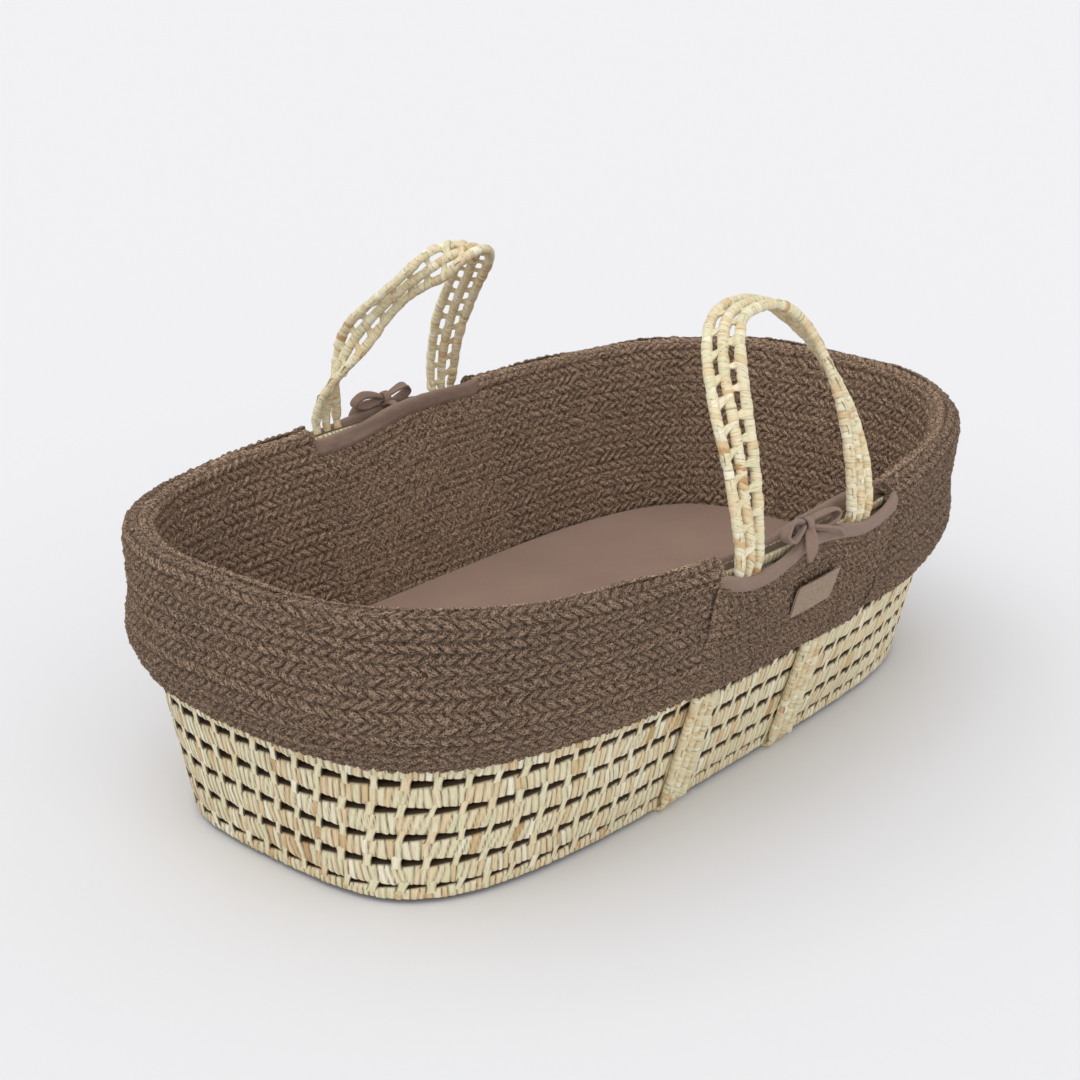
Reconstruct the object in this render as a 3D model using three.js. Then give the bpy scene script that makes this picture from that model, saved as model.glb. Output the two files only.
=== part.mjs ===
// Moses basket: a coiled maize-husk basket with a knitted liner, a mattress and two carry handles.
// Millimetres. +X points to the head end, -Y to the front and +Z up.
// The origin is on the floor under the middle of the basket.
import * as THREE from "three";

// The wall is an oval that grows from its foot to its rim. Its corners are squarer at the foot.
const FOOT = { halfLength: 367, halfWidth: 175.5, power: 4.0, z: 11 };
const RIM = { halfLength: 410, halfWidth: 245, power: 2.71, z: 235 };
const RIM_RISE = 14; // the two ends of the rim stand this much higher than its middle
const GAP = 0.35; // left between pieces that touch

// Coils of plaited husk, stacked into the wall
const COIL_HALF_THICKNESS = 5.5;
const COIL_EDGE = 3.5; // half the thickness of a coil where it meets the next one
const WALL_COILS = 9;
const BASE_RING = { bottom: 4.3, top: 15.6 };
const RIM_COIL = { belowRim: 8.8, aboveRim: 4 }; // its edges, from the rim line
const STATIONS = 32; // straight steps round the oval

// Floor: nested coils round a doubled centre coil
const FLOOR_COILS = 6;
const FLOOR_CENTRE_HALF_WIDTH = 23.3;

// Knitted liner: it hangs over the rim, a skirt outside and a lining inside
const ROLL_RADIUS = 13;
const ROLL_BORE = 6.5;
const HEM = { z: 122, fallPerLength: 8 }; // the hem is lower towards the head end
const BASE_PANEL = { bottom: 16, top: 28.3, offset: -6.5 };
const LINING = { foot: 28.6, visible: -13.5, hidden: -6.5 };
// Skirt section: share of the way from rim to hem, offset of the knit's face and of its back
const SKIRT_SECTION = [
  [1.0, 12, 6.2], [0.9, 17, 10], [0.8, 20, 13], [0.7, 24, 17], [0.6, 23, 16], [0.4, 15, 8.2], [0, 13, 6.5],
];
const LINING_SHARES = [0, 0.35, 0.7, 1];
const ROLL_ANGLES = [45, 90, 135];
// Slits in the liner that the handles come out of: where the roll stops, along X
const SLITS = { front: [-123, 115], back: [-98, 125] };
const FLAP_STEPS = 7;

// Flaps of the liner on each side of a slit: [height share or z, face offset, back offset]
const OUTER_FLAP = { top: 219.5, back: 13.5, shares: [[0, 19.5], [0.12, 21.5], [0.3, 24], [0.5, 23], [1, 20]] };
const INNER_FLAP = { top: 228 };
const OUTER_BINDING = { bottom: 219.9, top: 235.5, near: 13.5, far: 21 };
const INNER_BINDING = { bottom: 228.4, top: 246.5, near: -14.5, far: -6.5 };

// Label patch on the front outer flap
const LABEL = { length: 60, height: 28, thickness: 1.4, x: 12, z: 180, tiltDeg: -10, lift: 0.4 };

// Carry straps under the floor and up the wall, and the handles above them
const STRAP = { width: 38, underThickness: 4, wallThickness: 7, top: 236.3, clearance: 6 };
const STRAP_STEPS = 3; // across its width
const HANDLE_SPREAD = 79; // half the distance between the two legs of a handle
const STRAP_SHIFT = 1.5;
const STRAP_SKEW = 0.072; // the straps run slightly askew: shift along X for each millimetre of Y
const HINGE = { y: 257, z: 243 };
const CORD = { radius: 4.2, spacing: 14.3, sides: 6, steps: 28 };
// Arch of each handle: height along its leg, squareness, lean of its foot and inward bend of its top
const ARCHES = {
  front: { side: -1, centre: -17, height: 181, power: 2.73, drift: -8, leanDeg: 3, bend: 51.5 },
  back: { side: 1, centre: 20, height: 170.5, power: 1.8, drift: 0, leanDeg: 3, bend: 107 },
};

// Bows that tie the two flaps together over the rim
const BOWS = { front: { side: -1, x: -14 }, back: { side: 1, x: 16 } };
const BOW = { near: 0.5, far: 8.5, z: 248 };
const BOW_OUTLINE = [[0, 7], [-18, 11], [-34, 12], [-40, 4], [-33, -4], [-16, -5], [0, -4]];

// Mattress and its fitted sheet
const MATTRESS = { bottom: 28.8, top: 86, offset: -14.6, edge: 8, cover: 1.4, slack: 1.2 };

const COLOURS = {
  husk: { color: 0xdccda0, roughness: 0.8 },
  knit: { color: 0x7d6a5d, roughness: 0.95 },
  jersey: { color: 0x857264, roughness: 0.9 },
  label: { color: 0x8f7a66, roughness: 0.7 },
  foam: { color: 0xe8e2d8, roughness: 0.95 },
};

const basket = new THREE.Group();

function addMesh(name, geometry, look) {
  const material = new THREE.MeshStandardMaterial({ ...COLOURS[look], metalness: 0 });
  const mesh = new THREE.Mesh(geometry, material);
  mesh.name = name;
  basket.add(mesh);
}

function remap(geometry, place) {
  const points = geometry.attributes.position;
  const point = new THREE.Vector3();
  for (let i = 0; i < points.count; i += 1) {
    point.fromBufferAttribute(points, i);
    points.setXYZ(i, ...place(point).toArray());
  }
  return geometry;
}

// Reach of a unit oval at an angle
function reachOf(angle, power) {
  return (Math.abs(Math.cos(angle)) ** power + Math.abs(Math.sin(angle)) ** power) ** (-1 / power);
}

function ovalPoint(angle, halfLength, halfWidth, power, z) {
  const reach = reachOf(angle, power);
  return new THREE.Vector3(halfLength * reach * Math.cos(angle), halfWidth * reach * Math.sin(angle), z);
}

function outwardNormal(angle, halfLength, halfWidth, power) {
  const c = Math.cos(angle);
  const s = Math.sin(angle);
  const nx = (Math.sign(c) * Math.abs(c) ** (power - 1)) / halfLength;
  const ny = (Math.sign(s) * Math.abs(s) ** (power - 1)) / halfWidth;
  return new THREE.Vector3(nx, ny, 0).normalize();
}

function rimHeight(angle) {
  const share = reachOf(angle, RIM.power) * Math.cos(angle);
  return RIM.z + RIM_RISE * share * share;
}

function hemHeight(angle) {
  return HEM.z - HEM.fallPerLength * reachOf(angle, RIM.power) * Math.cos(angle);
}

// A point at a height, an offset outwards from the middle of the wall
function wallPoint(angle, z, offset) {
  const level = THREE.MathUtils.clamp((z - FOOT.z) / (rimHeight(angle) - FOOT.z), 0, 1);
  const halfLength = THREE.MathUtils.lerp(FOOT.halfLength, RIM.halfLength, level);
  const halfWidth = THREE.MathUtils.lerp(FOOT.halfWidth, RIM.halfWidth, level);
  const power = THREE.MathUtils.lerp(FOOT.power, RIM.power, level);
  const normal = outwardNormal(angle, halfLength, halfWidth, power);
  return ovalPoint(angle, halfLength, halfWidth, power, z).addScaledVector(normal, offset);
}

function angleAtX(x, side) {
  const share = x / RIM.halfLength;
  return Math.atan2(side * (1 - Math.abs(share) ** RIM.power) ** (1 / RIM.power), share);
}

class RimCurve extends THREE.Curve {
  getPoint(share, target = new THREE.Vector3()) {
    return target.copy(ovalPoint(share * 2 * Math.PI, RIM.halfLength, RIM.halfWidth, RIM.power, 0));
  }
}

const stationAngles = new RimCurve()
  .getSpacedPoints(STATIONS)
  .slice(0, STATIONS)
  .map((point) => Math.atan2(point.y / RIM.halfWidth, point.x / RIM.halfLength));

// A section turned round the oval. Its points are [offset, level], or [null, level] on the axis.
const LATHE_RADIUS = 1000;
function turned(section, place) {
  const profile = section.map(([offset, level]) =>
    new THREE.Vector2(offset === null ? 0 : LATHE_RADIUS + offset, level));
  const step = (2 * Math.PI) / STATIONS;
  return remap(new THREE.LatheGeometry(profile, STATIONS), (point) => {
    const radius = Math.hypot(point.x, point.z);
    const station = Math.round(Math.atan2(point.x, point.z) / step);
    if (radius < 1) return new THREE.Vector3(0, 0, point.y);
    return place(stationAngles[(station + STATIONS) % STATIONS], radius - LATHE_RADIUS, point.y);
  });
}

function closed(points) {
  return [...points, points[0]];
}

// One coil of the wall between two heights, each a function of the angle
function wallRing(bottomAt, topAt) {
  const section = closed([
    [COIL_EDGE, 0], [COIL_HALF_THICKNESS, 0.5], [COIL_EDGE, 1],
    [-COIL_EDGE, 1], [-COIL_HALF_THICKNESS, 0.5], [-COIL_EDGE, 0],
  ]);
  return turned(section, (angle, offset, level) => {
    const z = THREE.MathUtils.lerp(bottomAt(angle), topAt(angle), level);
    return wallPoint(angle, z, offset);
  });
}

function makeWall() {
  const lineAt = (row) => (angle) => {
    const rimCoilFoot = rimHeight(angle) - RIM_COIL.belowRim;
    return THREE.MathUtils.lerp(BASE_RING.top, rimCoilFoot, row / WALL_COILS);
  };
  addMesh("base_ring", wallRing(() => BASE_RING.bottom, () => BASE_RING.top), "husk");
  for (let row = 0; row < WALL_COILS; row += 1) {
    const bottomAt = (angle) => lineAt(row)(angle) + GAP;
    addMesh(`wall_coil_${row + 1}`, wallRing(bottomAt, lineAt(row + 1)), "husk");
  }
  const rimCoil = wallRing((angle) => lineAt(WALL_COILS)(angle) + GAP, (angle) => rimHeight(angle) + RIM_COIL.aboveRim);
  addMesh("rim_coil", rimCoil, "husk");
}

function floorPoint(angle, inset, z) {
  return ovalPoint(angle, FOOT.halfLength - inset, FOOT.halfWidth - inset, FOOT.power, z);
}

function makeFloor() {
  const outerInset = COIL_HALF_THICKNESS + GAP;
  const pitch = (FOOT.halfWidth - outerInset - FLOOR_CENTRE_HALF_WIDTH) / FLOOR_COILS;
  const { bottom, top } = BASE_RING;
  for (let coil = 0; coil < FLOOR_COILS; coil += 1) {
    const outer = outerInset + coil * pitch;
    const inner = outer + pitch - GAP;
    const section = closed([[-outer, bottom], [-outer, top], [-inner, top], [-inner, bottom]]);
    const ring = turned(section, (angle, offset, z) => floorPoint(angle, -offset, z));
    addMesh(`floor_coil_${coil + 1}`, ring, "husk");
  }
  const inset = outerInset + FLOOR_COILS * pitch;
  const section = [[null, bottom], [-inset, bottom], [-inset, top], [null, top]];
  const centre = turned(section, (angle, offset, z) => floorPoint(angle, -offset, z));
  addMesh("floor_centre_coil", centre, "husk");
}

// A slab with its thickness along x, its run round the oval along y and its height along z
function slab(runSteps, heightSteps, place) {
  const box = new THREE.BoxGeometry(1, 1, 1, 1, runSteps, heightSteps).translate(0.5, 0.5, 0.5);
  return remap(box, ({ x, y, z }) => place(Math.round(x), Math.round(y * runSteps), Math.round(z * heightSteps)));
}

// Section of the liner from the hem, over the rim and down to the foot of the lining.
// Each entry gives the point of its back and of its face at an angle.
function linerSection() {
  const skirt = SKIRT_SECTION.map(([share, face, back]) => (angle, isFace) => {
    const z = THREE.MathUtils.lerp(rimHeight(angle), hemHeight(angle), share);
    return wallPoint(angle, z, isFace ? face : back);
  });
  const roll = ROLL_ANGLES.map((degrees) => (angle, isFace) => {
    const radius = isFace ? ROLL_RADIUS : ROLL_BORE;
    const turn = THREE.MathUtils.degToRad(degrees);
    return wallPoint(angle, rimHeight(angle) + radius * Math.sin(turn), radius * Math.cos(turn));
  });
  const lining = LINING_SHARES.map((share) => (angle, isFace) => {
    const z = THREE.MathUtils.lerp(rimHeight(angle), LINING.foot, share);
    return wallPoint(angle, z, isFace ? LINING.visible : LINING.hidden);
  });
  return [...skirt, ...roll, ...lining];
}

// One end of the liner, from its first angle to its last, counter-clockwise
function linerEnd(firstAngle, lastAngle) {
  const turn = 2 * Math.PI;
  const between = stationAngles
    .map((angle) => firstAngle + ((angle - firstAngle) % turn + turn) % turn)
    .filter((angle) => angle > firstAngle && angle < lastAngle)
    .sort((a, b) => a - b);
  const angles = [firstAngle, ...between, lastAngle];
  const section = linerSection();
  const place = (thickness, run, height) => section[height](angles[run], thickness === 1);
  return slab(angles.length - 1, section.length - 1, place);
}

function makeLinerEnds() {
  const [frontLeft, frontRight] = SLITS.front;
  const [backLeft, backRight] = SLITS.back;
  const head = linerEnd(angleAtX(frontRight, -1), angleAtX(backRight, 1));
  addMesh("liner_end_right", head, "knit");
  const foot = linerEnd(angleAtX(backLeft, 1), angleAtX(frontLeft, -1) + 2 * Math.PI);
  addMesh("liner_end_left", foot, "knit");
}

// A panel inside a slit. heightAt gives z and offsetAt the offset at a height step.
function slitPanel(slitName, heightSteps, heightAt, offsetAt) {
  const side = ARCHES[slitName].side;
  const ends = side < 0 ? SLITS[slitName] : [...SLITS[slitName]].reverse();
  const inward = Math.sign(ends[1] - ends[0]) * 2 * GAP;
  const first = angleAtX(ends[0] + inward, side);
  const last = angleAtX(ends[1] - inward, side);
  return slab(FLAP_STEPS, heightSteps, (thickness, run, height) => {
    const angle = THREE.MathUtils.lerp(first, last, run / FLAP_STEPS);
    return wallPoint(angle, heightAt(height, angle), offsetAt(height, thickness));
  });
}

function makeOuterFlap(slitName) {
  const { shares, top, back } = OUTER_FLAP;
  const heightAt = (height, angle) => THREE.MathUtils.lerp(hemHeight(angle), top, shares[height][0]);
  const offsetAt = (height, thickness) => (thickness === 1 ? shares[height][1] : back);
  return slitPanel(slitName, shares.length - 1, heightAt, offsetAt);
}

function makeInnerFlap(slitName) {
  const steps = 3;
  const heightAt = (height) => THREE.MathUtils.lerp(LINING.foot, INNER_FLAP.top, height / steps);
  const offsetAt = (height, thickness) => (thickness === 1 ? LINING.hidden : LINING.visible);
  return slitPanel(slitName, steps, heightAt, offsetAt);
}

function makeBinding(slitName, { bottom, top, near, far }) {
  const heightAt = (height) => (height === 1 ? top : bottom);
  const offsetAt = (height, thickness) => (thickness === 1 ? far : near);
  return slitPanel(slitName, 1, heightAt, offsetAt);
}

function makeSlits() {
  for (const slitName of ["front", "back"]) {
    addMesh(`liner_outer_flap_${slitName}`, makeOuterFlap(slitName), "knit");
    addMesh(`liner_inner_flap_${slitName}`, makeInnerFlap(slitName), "knit");
    addMesh(`outer_binding_${slitName}`, makeBinding(slitName, OUTER_BINDING), "jersey");
    addMesh(`inner_binding_${slitName}`, makeBinding(slitName, INNER_BINDING), "jersey");
  }
}

// The label lies on the face of the front outer flap
function makeLabel() {
  const steps = 3;
  const faceOffset = OUTER_FLAP.shares[2][1] + LABEL.lift;
  const box = new THREE.BoxGeometry(LABEL.length, LABEL.thickness, LABEL.height, steps, 1, steps);
  const tilt = THREE.MathUtils.degToRad(LABEL.tiltDeg);
  return remap(box, ({ x, y, z }) => {
    const along = LABEL.x + x * Math.cos(tilt) - z * Math.sin(tilt);
    const up = LABEL.z + x * Math.sin(tilt) + z * Math.cos(tilt);
    return wallPoint(angleAtX(along, -1), up, faceOffset + LABEL.thickness / 2 - y);
  });
}

function makeBow({ side, x }) {
  const shape = new THREE.Shape(BOW_OUTLINE.map(([a, b]) => new THREE.Vector2(a, b)));
  const mirrored = BOW_OUTLINE.slice(1, -1).reverse();
  mirrored.forEach(([a, b]) => shape.lineTo(-a, b));
  const depth = BOW.far - BOW.near;
  const geometry = new THREE.ExtrudeGeometry(shape, { depth, bevelEnabled: false, steps: 1 });
  geometry.translate(0, 0, -depth / 2).rotateX(Math.PI / 2);
  return geometry.translate(x, side * (RIM.halfWidth + (BOW.near + BOW.far) / 2), BOW.z);
}

// How far the wall has curved inwards at x from where its side stands out most
function wallBulge(x, z) {
  const level = THREE.MathUtils.clamp((z - FOOT.z) / (RIM.z - FOOT.z), 0, 1);
  const halfLength = THREE.MathUtils.lerp(FOOT.halfLength, RIM.halfLength, level);
  const halfWidth = THREE.MathUtils.lerp(FOOT.halfWidth, RIM.halfWidth, level);
  const power = THREE.MathUtils.lerp(FOOT.power, RIM.power, level);
  return halfWidth * (1 - (1 - Math.abs(x / halfLength) ** power) ** (1 / power));
}

// A strap passes under the floor and up both sides of the wall
function makeStrap(centre) {
  const lean = (RIM.halfWidth - FOOT.halfWidth) / (RIM.z - FOOT.z);
  const { clearance, underThickness, wallThickness, top, width } = STRAP;
  const foot = FOOT.halfWidth + clearance;
  const topY = foot + lean * (top - FOOT.z);
  const half = [
    [foot, underThickness], [foot, FOOT.z], [topY, top], [topY + wallThickness, top],
    [foot + wallThickness, FOOT.z], [foot + 2, 0],
  ];
  const mirrored = [...half].reverse().map(([y, z]) => [-y, z]);
  const outline = [...half, ...mirrored].map(([y, z]) => new THREE.Vector2(y, z));
  const shape = new THREE.Shape(outline);
  const geometry = new THREE.ExtrudeGeometry(shape, { depth: width, bevelEnabled: false, steps: STRAP_STEPS });
  return remap(geometry, ({ x: y, y: z, z: along }) => {
    const x = centre + STRAP_SHIFT + STRAP_SKEW * y + along - width / 2;
    return new THREE.Vector3(x, y - Math.sign(y) * wallBulge(x, z), z);
  });
}

// Middle line of a handle, from its left foot to its right foot
function archPoint(arch, share) {
  const turn = Math.PI * share;
  const c = Math.cos(turn);
  const across = -Math.sign(c) * Math.abs(c) ** (2 / arch.power) * HANDLE_SPREAD;
  const rise = Math.sin(turn) ** (2 / arch.power);
  const lean = THREE.MathUtils.degToRad(arch.leanDeg);
  const inward = arch.height * rise * Math.sin(lean) + arch.bend * rise * rise;
  return new THREE.Vector3(
    arch.centre + across + arch.drift * rise * rise,
    arch.side * (HINGE.y - inward),
    HINGE.z + arch.height * rise * Math.cos(lean),
  );
}

// The band faces the wall at its feet and turns until it lies flat at the top
function bandDirection(arch, share) {
  const small = 1e-4;
  const before = archPoint(arch, Math.max(share - small, 0));
  const after = archPoint(arch, Math.min(share + small, 1));
  const tangent = after.sub(before).normalize();
  const rise = Math.sin(Math.PI * share) ** (2 / arch.power);
  const turn = (Math.PI / 2) * rise;
  const towardsMiddle = share < 0.5 ? 1 : -1;
  const across = new THREE.Vector3(towardsMiddle * Math.cos(turn), arch.side * Math.sin(turn), 0);
  return across.addScaledVector(tangent, -across.dot(tangent)).normalize();
}

class HandleCord extends THREE.Curve {
  constructor(arch, offset) {
    super();
    this.arch = arch;
    this.offset = offset;
  }

  getPoint(share, target = new THREE.Vector3()) {
    const bounded = THREE.MathUtils.clamp(share, 0, 1);
    target.copy(archPoint(this.arch, bounded));
    return target.addScaledVector(bandDirection(this.arch, bounded), this.offset);
  }
}

function makeCord(arch, offset) {
  const { radius, sides, steps } = CORD;
  const section = new THREE.Shape();
  for (let i = 0; i < sides; i += 1) {
    const turn = (2 * Math.PI * i) / sides;
    section[i === 0 ? "moveTo" : "lineTo"](radius * Math.cos(turn), radius * Math.sin(turn));
  }
  return new THREE.ExtrudeGeometry(section, { steps, extrudePath: new HandleCord(arch, offset) });
}

function makeStrapsAndHandles() {
  addMesh("carry_strap_left", makeStrap(-HANDLE_SPREAD), "husk");
  addMesh("carry_strap_right", makeStrap(HANDLE_SPREAD), "husk");
  for (const [name, arch] of Object.entries(ARCHES)) {
    addMesh(`handle_${name}_inner_cord`, makeCord(arch, -CORD.spacing), "husk");
    addMesh(`handle_${name}_middle_cord`, makeCord(arch, 0), "husk");
    addMesh(`handle_${name}_outer_cord`, makeCord(arch, CORD.spacing), "husk");
  }
}

function makeBasePanel() {
  const { bottom, top, offset } = BASE_PANEL;
  const section = [[null, bottom], [offset, bottom], [offset, top], [null, top]];
  addMesh("liner_base_panel", turned(section, (angle, inset, z) => wallPoint(angle, z, inset)), "jersey");
}

function makeMattress() {
  const { bottom, top, offset, edge, cover, slack } = MATTRESS;
  const place = (angle, inset, z) => wallPoint(angle, z, inset);
  const inner = offset - cover;
  const sheet = [
    [null, top - cover], [inner - edge, top - cover], [inner, top - cover - edge], [inner, bottom],
    [offset, bottom], [offset, top - edge], [offset - edge, top], [null, top],
  ];
  const coreSide = inner - slack;
  const coreTop = top - cover - slack / 2;
  const core = [
    [null, bottom], [coreSide, bottom], [coreSide, coreTop - edge], [coreSide - edge, coreTop], [null, coreTop],
  ];
  addMesh("mattress_core", turned(core, place), "foam");
  addMesh("fitted_sheet", turned(sheet, place), "jersey");
}

makeWall();
makeFloor();
makeLinerEnds();
makeSlits();
addMesh("label_patch", makeLabel(), "label");
addMesh("bow_front", makeBow(BOWS.front), "jersey");
addMesh("bow_back", makeBow(BOWS.back), "jersey");
makeStrapsAndHandles();
makeBasePanel();
makeMattress();

export default basket;
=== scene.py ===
import math

import bpy
import numpy as np
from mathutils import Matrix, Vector


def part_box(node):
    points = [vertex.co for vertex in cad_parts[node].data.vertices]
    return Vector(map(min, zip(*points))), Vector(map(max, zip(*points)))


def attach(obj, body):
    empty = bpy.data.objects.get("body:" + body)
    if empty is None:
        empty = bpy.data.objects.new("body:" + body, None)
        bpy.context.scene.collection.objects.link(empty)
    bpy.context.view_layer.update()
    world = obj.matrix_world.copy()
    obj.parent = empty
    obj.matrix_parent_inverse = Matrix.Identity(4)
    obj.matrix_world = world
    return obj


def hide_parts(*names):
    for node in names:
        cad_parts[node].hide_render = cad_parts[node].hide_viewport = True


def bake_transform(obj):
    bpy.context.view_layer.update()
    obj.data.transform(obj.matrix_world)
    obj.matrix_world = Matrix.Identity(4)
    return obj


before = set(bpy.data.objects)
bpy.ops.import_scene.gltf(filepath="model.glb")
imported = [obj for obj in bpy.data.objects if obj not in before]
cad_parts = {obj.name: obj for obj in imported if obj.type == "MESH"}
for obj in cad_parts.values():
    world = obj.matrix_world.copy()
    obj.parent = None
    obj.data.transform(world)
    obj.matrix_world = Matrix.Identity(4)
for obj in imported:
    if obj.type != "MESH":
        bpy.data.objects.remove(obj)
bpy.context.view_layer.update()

MM = 0.001
TAU = 2 * math.pi
rng = np.random.default_rng(47)


# ---------------------------------------------------------------- camera, light and floor

CAMERA_AIM = Vector((0.0215, 0.059, 0.149))
CAMERA_LOOK = Vector((0.708, 0.611, -0.354)).normalized()
CAMERA_DISTANCE = 1.845
CAMERA_LENS = 66.1
SENSOR = 36
CLIP_END = 100
BACKDROP = (0.872, 0.872, 0.885, 1)
BACKDROP_LEVEL = 0.97  # the world's strength at the horizon
OVERHEAD_LEVEL = 0.65  # and overhead
OVERHEAD_FADE = (0.12, 0.6)  # heights of a direction between which one fades to the other
FLOOR_COLOUR = (0.835, 0.835, 0.85, 1)
FLOOR_REACH = 40
# For each sun: where it shines to, its strength and its angle in degrees
SUNS = {"key": ((0.20, -0.14, -1.0), 0.80, 60), "front": ((0.54, 0.50, -0.72), 0.92, 80)}


def add_object(name, data):
    made = bpy.data.objects.new(name, data)
    bpy.context.scene.collection.objects.link(made)
    return made


def set_inputs(target, **values):
    """Set a node's inputs, named with _ for each space."""
    for name, value in values.items():
        target.inputs[name.replace("_", " ")].default_value = value


def make_camera():
    data = bpy.data.cameras.new("camera")
    data.lens = CAMERA_LENS
    data.sensor_width = SENSOR
    data.clip_end = CLIP_END
    camera = add_object("camera", data)
    camera.location = CAMERA_AIM - CAMERA_LOOK * CAMERA_DISTANCE
    camera.rotation_euler = CAMERA_LOOK.to_track_quat("-Z", "Y").to_euler()
    bpy.context.scene.camera = camera


def make_world():
    """Even studio light: bright at the horizon and dimmer overhead."""
    world = bpy.data.worlds.new("studio")
    bpy.context.scene.world = world
    world.use_nodes = True
    tree = world.node_tree
    background = tree.nodes["Background"]
    background.inputs["Color"].default_value = BACKDROP
    direction = tree.nodes.new("ShaderNodeTexCoord")
    parts = tree.nodes.new("ShaderNodeSeparateXYZ")
    tree.links.new(direction.outputs["Generated"], parts.inputs[0])
    fade = tree.nodes.new("ShaderNodeMapRange")
    fade.interpolation_type = "SMOOTHSTEP"
    set_inputs(fade, From_Min=OVERHEAD_FADE[0], From_Max=OVERHEAD_FADE[1])
    set_inputs(fade, To_Min=BACKDROP_LEVEL, To_Max=OVERHEAD_LEVEL)
    tree.links.new(parts.outputs["Z"], fade.inputs["Value"])
    tree.links.new(fade.outputs["Result"], background.inputs["Strength"])


def make_sun(name, towards, strength, angle_deg):
    data = bpy.data.lights.new(name, "SUN")
    data.energy = strength
    data.angle = math.radians(angle_deg)
    lamp = add_object(name, data)
    lamp.rotation_euler = Vector(towards).to_track_quat("-Z", "Y").to_euler()


def make_floor():
    mesh = bpy.data.meshes.new("floor")
    corners = [(x * FLOOR_REACH, y * FLOOR_REACH, 0) for x, y in ((-1, -1), (1, -1), (1, 1), (-1, 1))]
    mesh.from_pydata(corners, [], [(0, 1, 2, 3)])
    floor = add_object("floor", mesh)
    material = bpy.data.materials.new("floor")
    material.use_nodes = True
    shader = material.node_tree.nodes["Principled BSDF"]
    set_inputs(shader, Base_Color=FLOOR_COLOUR, Roughness=1.0, Specular_IOR_Level=0.0)
    mesh.materials.append(material)


make_camera()
make_world()
make_floor()
for sun, (towards, strength, angle_deg) in SUNS.items():
    make_sun(sun, towards, strength, angle_deg)
bpy.context.scene.view_settings.view_transform = "Standard"


# ---------------------------------------------------------------- the basket's oval, from the frame

def half(node, axis):
    low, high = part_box(node)
    return (high[axis] - low[axis]) / 2 / MM


COIL_HALF = 5.5  # half the thickness of a coil
FOOT_LENGTH = half("base_ring", 0) - COIL_HALF
FOOT_WIDTH = half("base_ring", 1) - COIL_HALF
FOOT_POWER = 4.0  # of the superellipse: 2 is an ellipse, more is squarer
FOOT_Z = 11.0
FACET_LOSS = (0.4, 0.7)  # how far the faceted rim coil's box stays inside the true curve
RIM_LENGTH = half("rim_coil", 0) - COIL_HALF + FACET_LOSS[0]
RIM_WIDTH = half("rim_coil", 1) - COIL_HALF + FACET_LOSS[1]
RIM_POWER = 2.71
RIM_ABOVE = 8.45  # from the rim coil's lowest point up to the rim line
RIM_CROWN = 4.0  # from the rim line up to the coil's top
RIM_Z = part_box("rim_coil")[0][2] / MM + RIM_ABOVE
RIM_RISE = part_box("rim_coil")[1][2] / MM - RIM_CROWN - RIM_Z
BASE_RING = (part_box("base_ring")[0][2] / MM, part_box("base_ring")[1][2] / MM)
WALL_ROWS = 9
RIM_FOOT = 8.8  # from the top of the wall's last row up to the rim line


def signed_power(values, power):
    """values to a power, with their signs kept. It squares off or rounds a circle's sine and cosine."""
    return np.sign(values) * np.abs(values) ** power


def smooth(t):
    """0 to 1, with a soft start and a soft stop."""
    return t * t * (3 - 2 * t)


def unit_reach(angle, power):
    return (np.abs(np.cos(angle)) ** power + np.abs(np.sin(angle)) ** power) ** (-1 / power)


def rim_height(angle):
    return RIM_Z + RIM_RISE * (unit_reach(angle, RIM_POWER) * np.cos(angle)) ** 2


def wall_shape(level):
    """Length, width and power of the wall's oval, from the foot at level 0 to the rim at level 1."""
    length = FOOT_LENGTH + (RIM_LENGTH - FOOT_LENGTH) * level
    width = FOOT_WIDTH + (RIM_WIDTH - FOOT_WIDTH) * level
    power = FOOT_POWER + (RIM_POWER - FOOT_POWER) * level
    return length, width, power


def plan_normal(angle, length, width, power):
    nx = signed_power(np.cos(angle), power - 1) / length
    ny = signed_power(np.sin(angle), power - 1) / width
    size = np.hypot(nx, ny)
    return nx / size, ny / size


def wall_point(angle, z, offset=0.0):
    """A point on the wall at a height, and an offset outwards from its middle, in mm."""
    angle, z, offset = np.broadcast_arrays(angle, z, offset)
    length, width, power = wall_shape(np.clip((z - FOOT_Z) / (rim_height(angle) - FOOT_Z), 0, 1))
    reach = unit_reach(angle, power)
    nx, ny = plan_normal(angle, length, width, power)
    x = length * reach * np.cos(angle) + offset * nx
    y = width * reach * np.sin(angle) + offset * ny
    return np.stack([x, y, z], axis=-1)


def floor_point(angle, inset, z):
    """A point at a height and an inset from the foot's line, in mm."""
    angle, inset, z = np.broadcast_arrays(angle, inset, z)
    reach = unit_reach(angle, FOOT_POWER)
    x = (FOOT_LENGTH - inset) * reach * np.cos(angle)
    y = (FOOT_WIDTH - inset) * reach * np.sin(angle)
    return np.stack([x, y, z], axis=-1)


def angle_at_x(x, side):
    share = x / RIM_LENGTH
    return math.atan2(side * (1 - abs(share) ** RIM_POWER) ** (1 / RIM_POWER), share)


def run_length(points):
    """The length run along a line up to each of its points."""
    return np.concatenate([[0], np.cumsum(np.linalg.norm(np.diff(points, axis=0), axis=1))])


def even_angles(curve, first, last, step):
    """Angles from first to last at even steps of about step mm along curve(angle), and their lengths."""
    fine = np.linspace(first, last, 4001)
    lengths = run_length(curve(fine))
    count = max(int(round(lengths[-1] / step)), 2)
    even = np.linspace(0, lengths[-1], count + 1)
    return np.interp(even, lengths, fine), even


# ---------------------------------------------------------------- meshes from arrays

def normalised(vectors):
    return vectors / np.maximum(np.linalg.norm(vectors, axis=-1, keepdims=True), 1e-9)


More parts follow.
